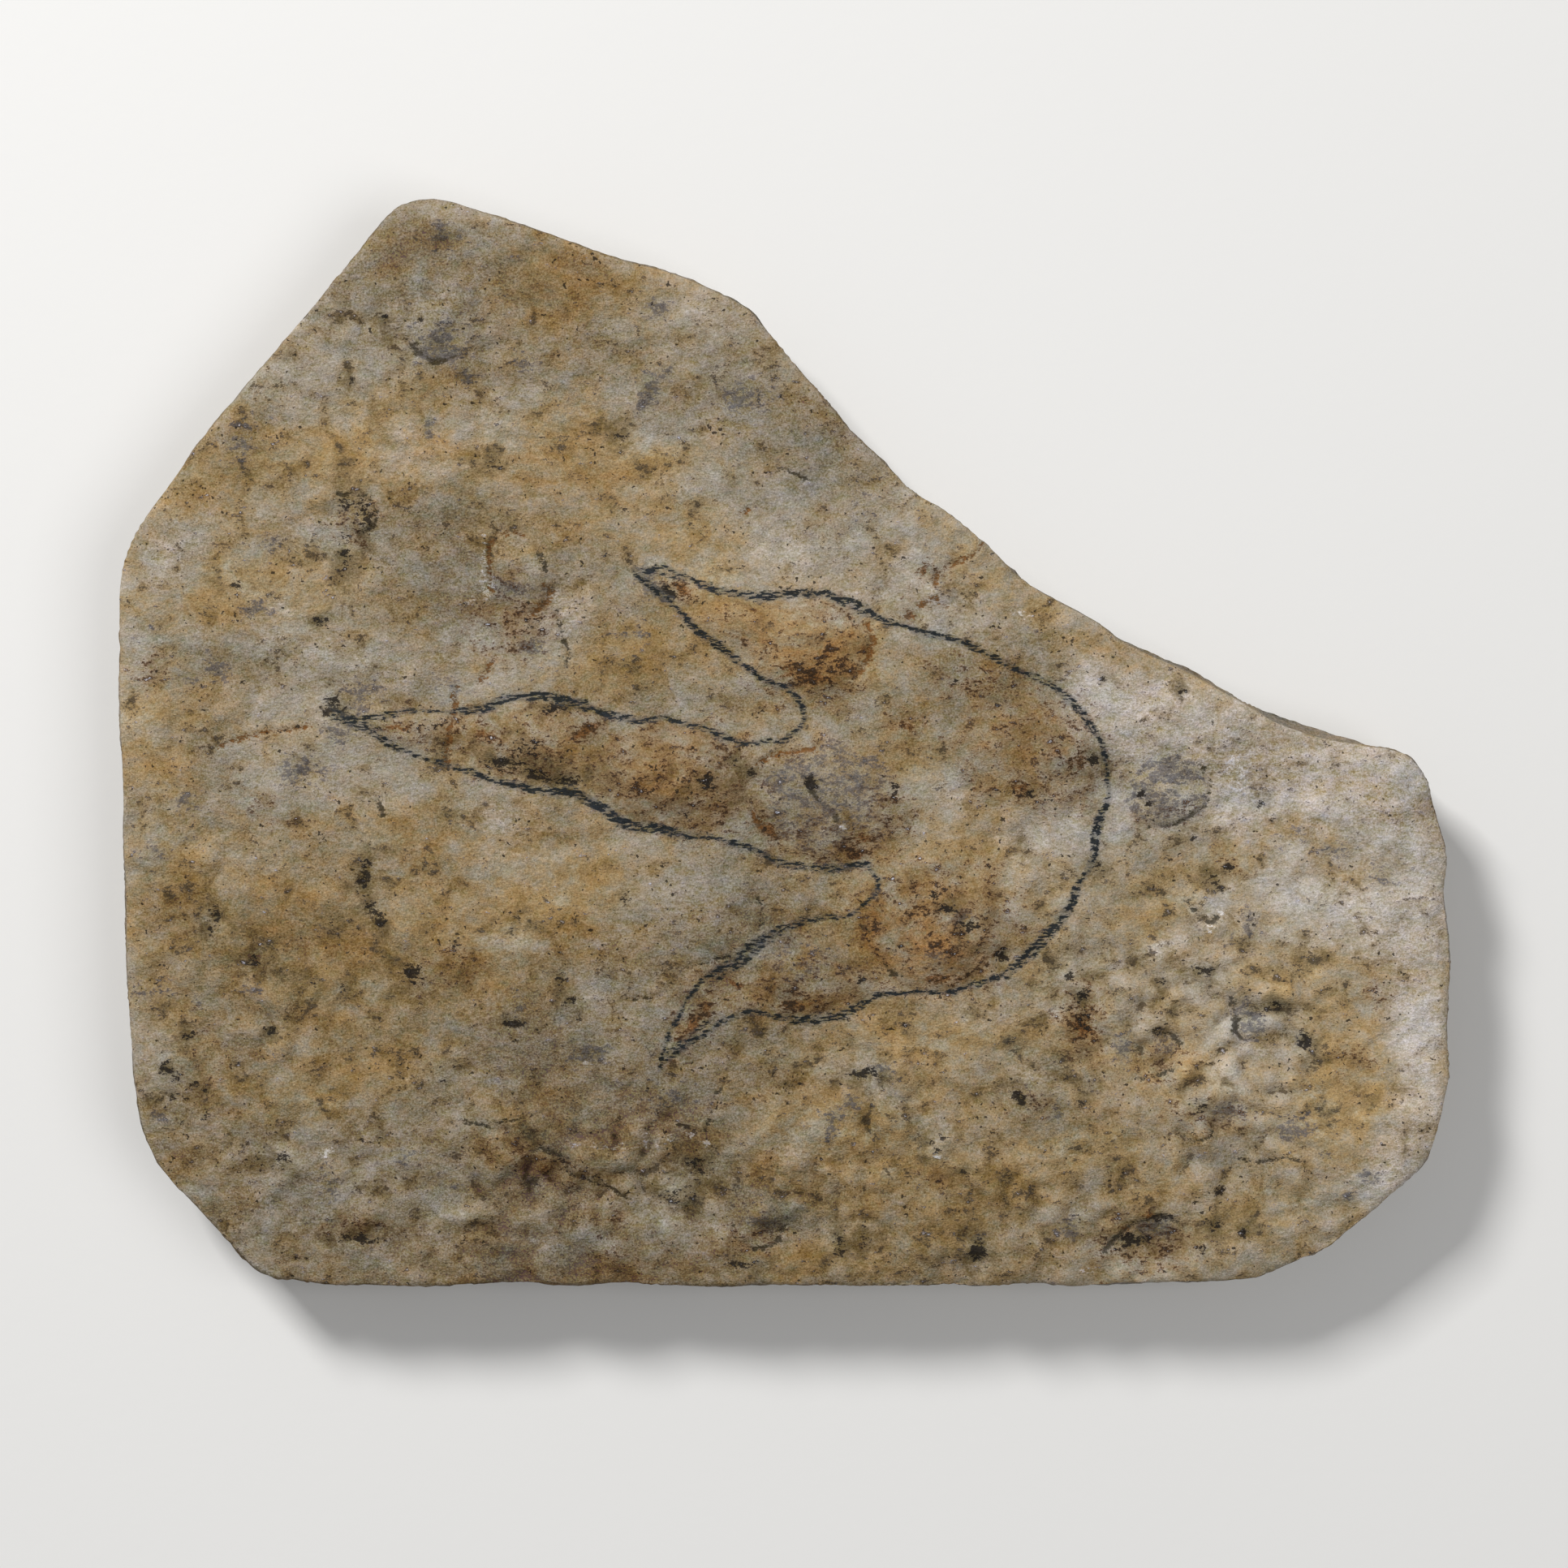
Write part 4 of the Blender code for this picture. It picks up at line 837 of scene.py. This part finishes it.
def back_triangles(points, loop):
    """All points with those of the back added, and the triangles that close it inside its rim."""
    shuffle = random.Random(SEED)
    rim = points[loop][:, :2] / MM
    low = rim.min(axis=0)
    pitch = BACK_SPACING * np.array((1.0, BACK_ROW))
    columns, rows = ((rim.max(axis=0) - low) / pitch).astype(int)
    grid = []
    for row in range(rows):
        for column in range(columns):
            across = column + 0.5 * (row % 2) + shuffle.uniform(-BACK_SCATTER, BACK_SCATTER)
            along = row + shuffle.uniform(-BACK_SCATTER, BACK_SCATTER)
            grid.append(low + pitch * (across, along))
    grid = np.array(grid)
    grid = grid[signed_gap(grid, np.concatenate([rim, rim[:1]])) < -BACK_RIM * BACK_SPACING]

    flat = [Vector(place) for place in np.concatenate([rim, grid])]
    ring = [(i, (i + 1) % len(loop)) for i in range(len(loop))]
    _, _, faces, sources, _, _ = delaunay_2d_cdt(flat, ring, [], INSIDE_ONLY, NEAR_POINTS)
    index = loop + list(range(len(points), len(points) + len(grid)))
    closing = np.array([[index[sources[corner][0]] for corner in reversed(face)] for face in faces])
    return np.concatenate([points, on_plane(grid * MM)]), closing


def point_normals(points, triangles):
    """Outward directions at the points."""
    a, b, c = (points[corner] for corner in triangles.T)
    faces = np.cross(b - a, c - a)
    normals = np.column_stack([sum(np.bincount(corner, side, len(points)) for corner in triangles.T)
                               for side in faces.T])
    return normals / np.linalg.norm(normals, axis=1)[:, None]


def fine_slab():
    """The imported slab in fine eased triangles, and the height of its highest point."""
    points, triangles = merged_slab()
    frame_top = points[:, 2].max()
    triangles = without_back(points, triangles)
    splitting = True
    while splitting:
        points, triangles, splitting = split_once(points, triangles)
    used, triangles = np.unique(triangles, return_inverse=True)
    points, triangles = points[used], triangles.reshape(-1, 3)
    loop = rim_loop(triangles)
    edges, _ = edge_list(triangles)
    points = blurred(points, edges, EDGE_ROUNDS, loop)
    points = blurred(points, edges, FACE_ROUNDS, point_normals(points, triangles)[:, 2] < LEVEL_FACE)
    points, closing = back_triangles(points, loop)
    return points, np.concatenate([triangles, closing]), frame_top


def warped(places):
    """Places pushed about a little, so that ovals drawn at them have natural outlines."""
    solid = on_plane(places)
    x, y, fine_x, fine_y = (warp.height * warp.at(solid) for warp in WARPS)
    return places + np.column_stack([x + fine_x, y + fine_y])


def oval_gap(places, x, y, half_length, half_width, turn=0.0):
    """Distance from the middle of an oval, as a share of its size."""
    angle = math.radians(turn)
    dx, dy = (places - (x, y)).T
    along = (dx * math.cos(angle) + dy * math.sin(angle)) / half_length
    across = (dy * math.cos(angle) - dx * math.sin(angle)) / half_width
    return np.hypot(along, across)


def oval_gaps(places, ovals):
    """The strength of each oval, and the distances from its middle."""
    for x, y, half_length, half_width, strength, *turn in ovals:
        yield strength, oval_gap(places, x, y, half_length, half_width, *turn)


def zones(places, ovals, spread=1.0):
    """Soft overlapping stains, from 0 to 1."""
    clear = np.ones(len(places))
    for strength, gap in oval_gaps(places, ovals):
        clear *= 1.0 - strength * bell(gap, spread)
    return 1.0 - clear


def swings(places, ovals):
    """Soft areas whose strengths add up, above or below 0."""
    return sum(strength * bell(gap) for strength, gap in oval_gaps(places, ovals))


def spots(places, ovals, spread=1.0):
    """Single marks: full in the middle, half at the rim and nothing at twice the size."""
    field = np.zeros(len(places))
    for strength, gap in oval_gaps(places, ovals):
        field = np.maximum(field, strength * np.clip(1.0 - 0.5 * gap / spread, 0.0, 1.0))
    return field


def pad_stains(places):
    """Brown and grey over the pads, crisp at their edge, and the broken brown rim round them."""
    brown, grey, rim = np.zeros((3, len(places)))
    for *oval, oval_brown, oval_grey in PADS_MM:
        gap = oval_gap(places, *oval)
        inside = smooth_step(*PAD_EDGE, gap)
        brown = np.maximum(brown, oval_brown * inside)
        grey = np.maximum(grey, oval_grey * inside)
        rim = np.maximum(rim, oval_brown * bell(gap - PAD_RIM_PLACE, PAD_RIM_WIDTH))
    return brown, grey, rim * smooth_step(*PAD_RIM_GAPS, RIM_BREAKS.at(on_plane(places)))


def stone_marks(places, normals):
    """What the material reads at every point: distances to lines, stains, painted shade and highlights, and
    masks.
    """
    flat = places[:, :2]
    loose = warped(flat)
    pad_brown, pad_grey, pad_rim = pad_stains(loose)
    pressed = [(x, y, radius, radius, change) for x, y, radius, change in CRAYON_PRESSURE_MM]
    return {
        "crayon": signed_gap(flat, CRAYON_LOOP),
        "retouch": np.min([path_gap(flat, eased(path)) for path in CRAYON_RETOUCHES_MM], axis=0),
        "pressure": USUAL_PRESSURE + PRESSURE_SWING * swings(flat, pressed),
        "ochre": zones(loose, OCHRE_ZONES_MM),
        "grey": zones(loose, GREY_ZONES_MM),
        "pale": zones(loose, PALE_ZONES_MM),
        # Broad lighter and darker areas, partly painted shade of the light falling off towards the bottom
        "weather": swings(flat, BLEACH_AND_FALLOFF_SHADE_MM),
        "knobbly": zones(flat, KNOBBLY_ZONES_MM),
        "pads": pad_brown,
        "brown": np.maximum(spots(loose, BROWN_MM), PAD_RIM_STRENGTH * pad_rim),
        "dark": spots(flat, DARK_MM, DARK_SPREAD),
        "halo": zones(loose, DARK_MM, HALO_SPREAD),
        "violet": np.maximum(spots(loose, VIOLET_MM), pad_grey),
        "rust": spots(flat, RUST_MM),
        "white": spots(flat, WHITE_MM),
        "dark_line": lines_gap(flat, DARK_LINES_MM),
        "rust_line": lines_gap(flat, RUST_LINES_MM),
        "face": smooth_step(*FACE_LOOK, normals[:, 2]) * (places[:, 2] > FACE_ABOVE),
    }


def face_relief(places, marks):
    """Fine height of the face over the smooth slab, in millimetres."""
    flat = on_plane(places[:, :2])
    knobbly = CALM_SHARE + (1.0 - CALM_SHARE) * marks["knobbly"]
    calm = 1.0 - smooth_step(*PATCH_EDGE, KNOB_PATCHES.at(flat))
    patches = 1.0 - KNOB_PATCHES.height * calm
    rise = SWELLS.height * (SWELLS.at(flat) - SWELL_LEVEL)
    rise += knobbly * patches * KNOBS.height * (2.0 * np.abs(KNOBS.at(flat)) - KNOB_LEVEL)
    rise += knobbly * BUMPS.height * BUMPS.at(flat)
    rise += CRUMBS.height * CRUMBS.at(flat)
    loose = warped(places[:, :2])
    for *oval, _, _ in PADS_MM:
        rise -= GROOVE_DEPTH * bell(oval_gap(loose, *oval) - GROOVE_PLACE, GROOVE_WIDTH)
    rise -= SPOT_DEPTH * smooth_step(*SPOT_EDGE, marks["dark"])
    cracks = np.minimum(marks["dark_line"], marks["rust_line"])
    return rise - CRACK_DEPTH * bell(np.maximum(cracks + CRACK_REACH, 0.0), CRACK_WIDTH)


def side_relief(places):
    """How far the broken beds of the sides stand back, in millimetres."""
    beds = BEDS.at(places * (1.0, 1.0, BEDS.size / BED_PITCH))
    depth = FRACTURE.height * (0.5 + 0.5 * FRACTURE.at(places))
    for start, end, step in BED_STEPS:
        depth += step * (1.0 - smooth_step(start, end, beds))
    return -depth * (SIDE_TOP_SHARE + (1.0 - SIDE_TOP_SHARE) * smooth_step(*SIDE_FADE, places[:, 2]))


def back_relief(places):
    """How far the back is hollowed above the plane it rests on, in millimetres."""
    return sum(ripple.height * np.maximum(ripple.at(places) + added, 0.0) for ripple, added in BACK_HOLLOWS)


def held_in(heights, top):
    """Heights in metres kept above the ground and eased under a top."""
    room = CEILING_ROOM * MM
    over = np.maximum(heights - (top - room), 0.0) / room
    return np.clip(heights, 0.0, top - room) + room * np.tanh(over)


def dressed_slab():
    """The slab with its fine relief, and the marks that its material reads."""
    points, triangles, frame_top = fine_slab()
    places = points / MM
    normals = point_normals(points, triangles)
    marks = stone_marks(places, normals)
    face = marks["face"]
    back = smooth_step(*BACK_LOOK, -normals[:, 2]) * (places[:, 2] < BACK_BELOW)
    side = (1.0 - face) * (1.0 - back)
    push = normals * SIDE_PUSH * (side * side_relief(places))[:, None]
    push[:, 2] += face * face_relief(places, marks) + back * back_relief(places)
    shaped = points + MM * push
    shaped[:, 2] = held_in(shaped[:, 2], frame_top)

    height = shaped[:, 2:] / MM
    edges, _ = edge_list(triangles)
    # How far each point of the face lies below its eased neighbours; the material lays painted shade in
    # these hollows
    marks["hollow"] = np.where(face > 0.5, (blurred(height, edges, HOLLOW_ROUNDS) - height)[:, 0], 0.0)
    return shaped, triangles, marks


def placed(name, data):
    """A new object in the scene."""
    holder = bpy.data.objects.new(name, data)
    bpy.context.collection.objects.link(holder)
    return holder


def slab_piece():
    """The finished stone as one closed mesh."""
    points, triangles, marks = dressed_slab()
    mesh = bpy.data.meshes.new("sandstone_slab")
    mesh.from_pydata(points.tolist(), [], triangles.tolist())
    mesh.polygons.foreach_set("use_smooth", np.ones(len(triangles), dtype=bool))
    for name, values in marks.items():
        layer = mesh.attributes.new(name, "FLOAT", "POINT")
        layer.data.foreach_set("value", values.astype(np.float32))
    mesh.materials.append(Sandstone().coat())
    mesh.update()
    return placed("sandstone_slab", mesh)


class Signal:
    """A number that varies over a surface. Arithmetic on it adds Math nodes."""

    def __init__(self, finish, socket):
        self.finish = finish
        self.socket = socket

    def combine(self, operation, first, second):
        """A Math node on two numbers or signals."""
        node = self.finish.node("ShaderNodeMath", {"operation": operation}, {0: first, 1: second})
        return Signal(self.finish, node.outputs[0])

    def __add__(self, other):
        return self.combine("ADD", self, other)

    __radd__ = __add__

    def __sub__(self, other):
        return self.combine("SUBTRACT", self, other)

    def __rsub__(self, other):
        return self.combine("SUBTRACT", other, self)

    def __mul__(self, other):
        return self.combine("MULTIPLY", self, other)

    __rmul__ = __mul__

    def __abs__(self):
        return self.combine("ABSOLUTE", self, 0.0)

    def at_least(self, other):
        """The greater of this and the other."""
        return self.combine("MAXIMUM", self, other)

    def rising(self, low, high):
        """0 below low, 1 above high, smooth between; falls instead when low is above high."""
        ends = (0.0, 1.0) if low < high else (1.0, 0.0)
        sockets = dict(enumerate((self, min(low, high), max(low, high), *ends)))
        node = self.finish.node("ShaderNodeMapRange", {"interpolation_type": "SMOOTHSTEP"}, sockets)
        return Signal(self.finish, node.outputs[0])


class Finish:
    """One material while its nodes are put together."""

    def __init__(self, name):
        self.material = bpy.data.materials.new(name)
        self.material.use_nodes = True
        self.tree = self.material.node_tree
        self.tree.nodes.clear()
        self.place = self.node("ShaderNodeTexCoord", {}, {}).outputs["Object"]

    def node(self, kind, settings, sockets):
        """Adds a node: its settings first, then the values or links of its sockets."""
        node = self.tree.nodes.new(kind)
        for name, value in settings.items():
            if name == "stops":
                self.set_stops(node.color_ramp, value)
            else:
                setattr(node, name, value)
        for key, value in sockets.items():
            if isinstance(value, Signal):
                value = value.socket
            if isinstance(value, bpy.types.NodeSocket):
                self.tree.links.new(value, node.inputs[key])
            else:
                node.inputs[key].default_value = value
        return node

    def set_stops(self, ramp, stops):
        """Gives a colour ramp its places and colours."""
        while len(ramp.elements) < len(stops):
            ramp.elements.new(1.0)
        for element, (place, colour) in zip(ramp.elements, stops):
            element.position = place
            element.color = colour

    def attribute(self, name):
        """A number kept on the points of the mesh."""
        return Signal(self, self.node("ShaderNodeAttribute", {"attribute_name": name}, {}).outputs["Fac"])

    def noise(self, size, detail, roughness, distortion=0.0, stretch=EVEN, turn=0.0):
        """Cloudy noise from -0.5 to 0.5, its size in millimetres and its turn in degrees."""
        place = self.node("ShaderNodeMapping", {}, {
            "Vector": self.place, "Scale": stretch, "Rotation": (0.0, 0.0, math.radians(turn))})
        clouds = self.node("ShaderNodeTexNoise", {"noise_dimensions": "3D"}, {
            "Vector": place.outputs["Vector"], "Scale": 1.0 / (size * MM), "Detail": detail,
            "Roughness": roughness, "Distortion": distortion})
        return Signal(self, clouds.outputs["Fac"]) - 0.5

    def blend(self, amount, first, second, mode="MIX"):
        """One colour laid over another by an amount."""
        node = self.node("ShaderNodeMix", {"data_type": "RGBA", "blend_type": mode, "clamp_factor": True},
                         {MIX_AMOUNT: amount, MIX_FIRST: first, MIX_SECOND: second})
        return node.outputs[MIX_RESULT]

    def finished(self, colour, roughness, height, bump):
        """The material ended in its shader, with fine relief from a height in millimetres."""
        relief = self.node("ShaderNodeBump", {}, {"Height": height, "Distance": MM, "Strength": bump})
        shader = self.node("ShaderNodeBsdfPrincipled", {},
                           {"Base Color": colour, "Roughness": roughness, "Normal": relief.outputs["Normal"],
                            "Specular IOR Level": SPECULAR})
        self.node("ShaderNodeOutputMaterial", {}, {"Surface": shader.outputs["BSDF"]})
        return self.material


class Sandstone(Finish):
    """Mottled ochre and grey sandstone with its stains, painted shade and highlights, the crayon line and
    broken sides.
    """

    def __init__(self):
        super().__init__("mottled_sandstone")
        self.parts = {"level": 1.0}

    def part(self, name):
        """A noise, sum, pattern or mark by its name, made when it is first asked for."""
        if name not in self.parts:
            self.parts[name] = self.new_part(name)
        return self.parts[name]

    def new_part(self, name):
        """Makes a part from the table that names it, or from the mesh when no table does."""
        if name in NOISES:
            return self.noise(*NOISES[name])
        if name in MIXES:
            return sum(self.weighted(MIXES[name]))
        if name in PATTERNS:
            start, full, weights = PATTERNS[name]
            return sum(self.weighted(weights)).rising(start, full)
        if name in STRONGEST:
            first, *others = self.weighted(STRONGEST[name])
            for other in others:
                first = first.at_least(other)
            return first
        return self.attribute(name)

    def weighted(self, weights):
        """Parts by their names, each times its weight."""
        return [weight * self.part(name) for name, weight in weights.items()]

    def stroke(self):
        """How strongly the crayon touches: its line, parted here and there, and the second strokes."""
        line_gap = abs(abs(self.part("crayon") + self.part("wobble")) - PARTING_WIDTH * self.part("parted"))
        second_gap = abs(self.part("retouch") + self.part("wobble")) + SECOND_GAP
        pressure = self.part("pressure")
        second = SECOND_PRESSURE * pressure - STROKE_FALL * second_gap
        return (pressure - STROKE_FALL * line_gap).at_least(second)

    def face_colour(self):
        """The stone's colour with every layer on it, painted highlights and painted shade among them."""
        colours = {name: self.blend(self.part(pattern), first, second)
                   for name, (pattern, first, second) in TINTS.items()}
        ramp = self.node("ShaderNodeValToRGB", {"stops": WARMTH_STOPS}, {0: self.part("warmth")})
        colour = ramp.outputs["Color"]
        for over, amount, *names in LAYERS:
            for name in names:
                amount = amount * self.part(name)
            colour = self.blend(amount, colour, colours.get(over, over))
        return colour

    def side_colour(self):
        """The beds that show on the broken sides."""
        beds = self.blend(self.part("tan_beds"), BED_GREY, BED_TAN)
        return self.blend(OCHRE_BED_COVER * self.part("ochre_beds"), beds, DEEP_OCHRE)

    def coat(self):
        """The whole material."""
        self.parts["stroke"] = self.stroke()
        # The tone multiplied over the colour: random mottling of the stone, with painted shade in the
        # hollows and the broad painted light falloff
        self.parts["tone"] = self.part("mottle").at_least(TONE_FLOOR)
        light = self.node("ShaderNodeCombineColor", {},
                          {"Red": self.part("red"), "Green": self.part("green"),
                           "Blue": self.part("blue").at_least(BLUE_FLOOR)})
        colour = self.blend(self.part("on_face"), self.side_colour(), self.face_colour())
        colour = self.blend(1.0, colour, light.outputs["Color"], "MULTIPLY")
        wax = self.part("waxed") * self.part("touched")
        roughness = STONE_ROUGHNESS - WAX_SHINE * wax - GRAIN_SHINE * self.part("whitened")
        return self.finished(colour, roughness, self.part("height"), STONE_BUMP)


def floor_finish():
    """Plain pale paper."""
    paper = Finish("pale_paper")
    return paper.finished(FLOOR_COLOUR, PAPER_ROUGHNESS, paper.noise(*PAPER_NOISE), PAPER_BUMP)


def studio_floor():
    """A wide pale floor under the slab."""
    corners = [(x * FLOOR_REACH, y * FLOOR_REACH, 0.0) for x, y in ((-1, -1), (1, -1), (1, 1), (-1, 1))]
    mesh = bpy.data.meshes.new("studio_floor")
    mesh.from_pydata(corners, [], [(0, 1, 2, 3)])
    mesh.materials.append(floor_finish())
    placed("studio_floor", mesh)


def studio_lights():
    """A soft key from the upper left, a wide fill and a faint even sky."""
    for name, place, aim, size, power in LIGHTS:
        lamp = bpy.data.lights.new(name, "AREA")
        lamp.size = size
        lamp.energy = power
        holder = placed(name, lamp)
        holder.location = place
        holder.rotation_euler = (Vector(aim) - Vector(place)).to_track_quat("-Z", "Y").to_euler()
    world = bpy.data.worlds.new("studio_sky")
    world.use_nodes = True
    sky = world.node_tree.nodes["Background"].inputs
    sky["Color"].default_value = SKY_COLOUR
    sky["Strength"].default_value = SKY_STRENGTH
    bpy.context.scene.world = world
    bpy.context.scene.view_settings.view_transform = "Standard"


def studio_camera():
    """Looks straight down on the slab, as the photograph looks straight at it."""
    lens = bpy.data.cameras.new("camera")
    lens.lens = LENS
    lens.sensor_width = SENSOR
    holder = placed("camera", lens)
    holder.location = (*VIEW_CENTRE, OUTLINE_HEIGHT + VIEW_WIDTH * LENS / SENSOR)
    bpy.context.scene.camera = holder


stone = slab_piece()
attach(stone, "root")
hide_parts("footprint_slab")
studio_floor()
studio_lights()
studio_camera()
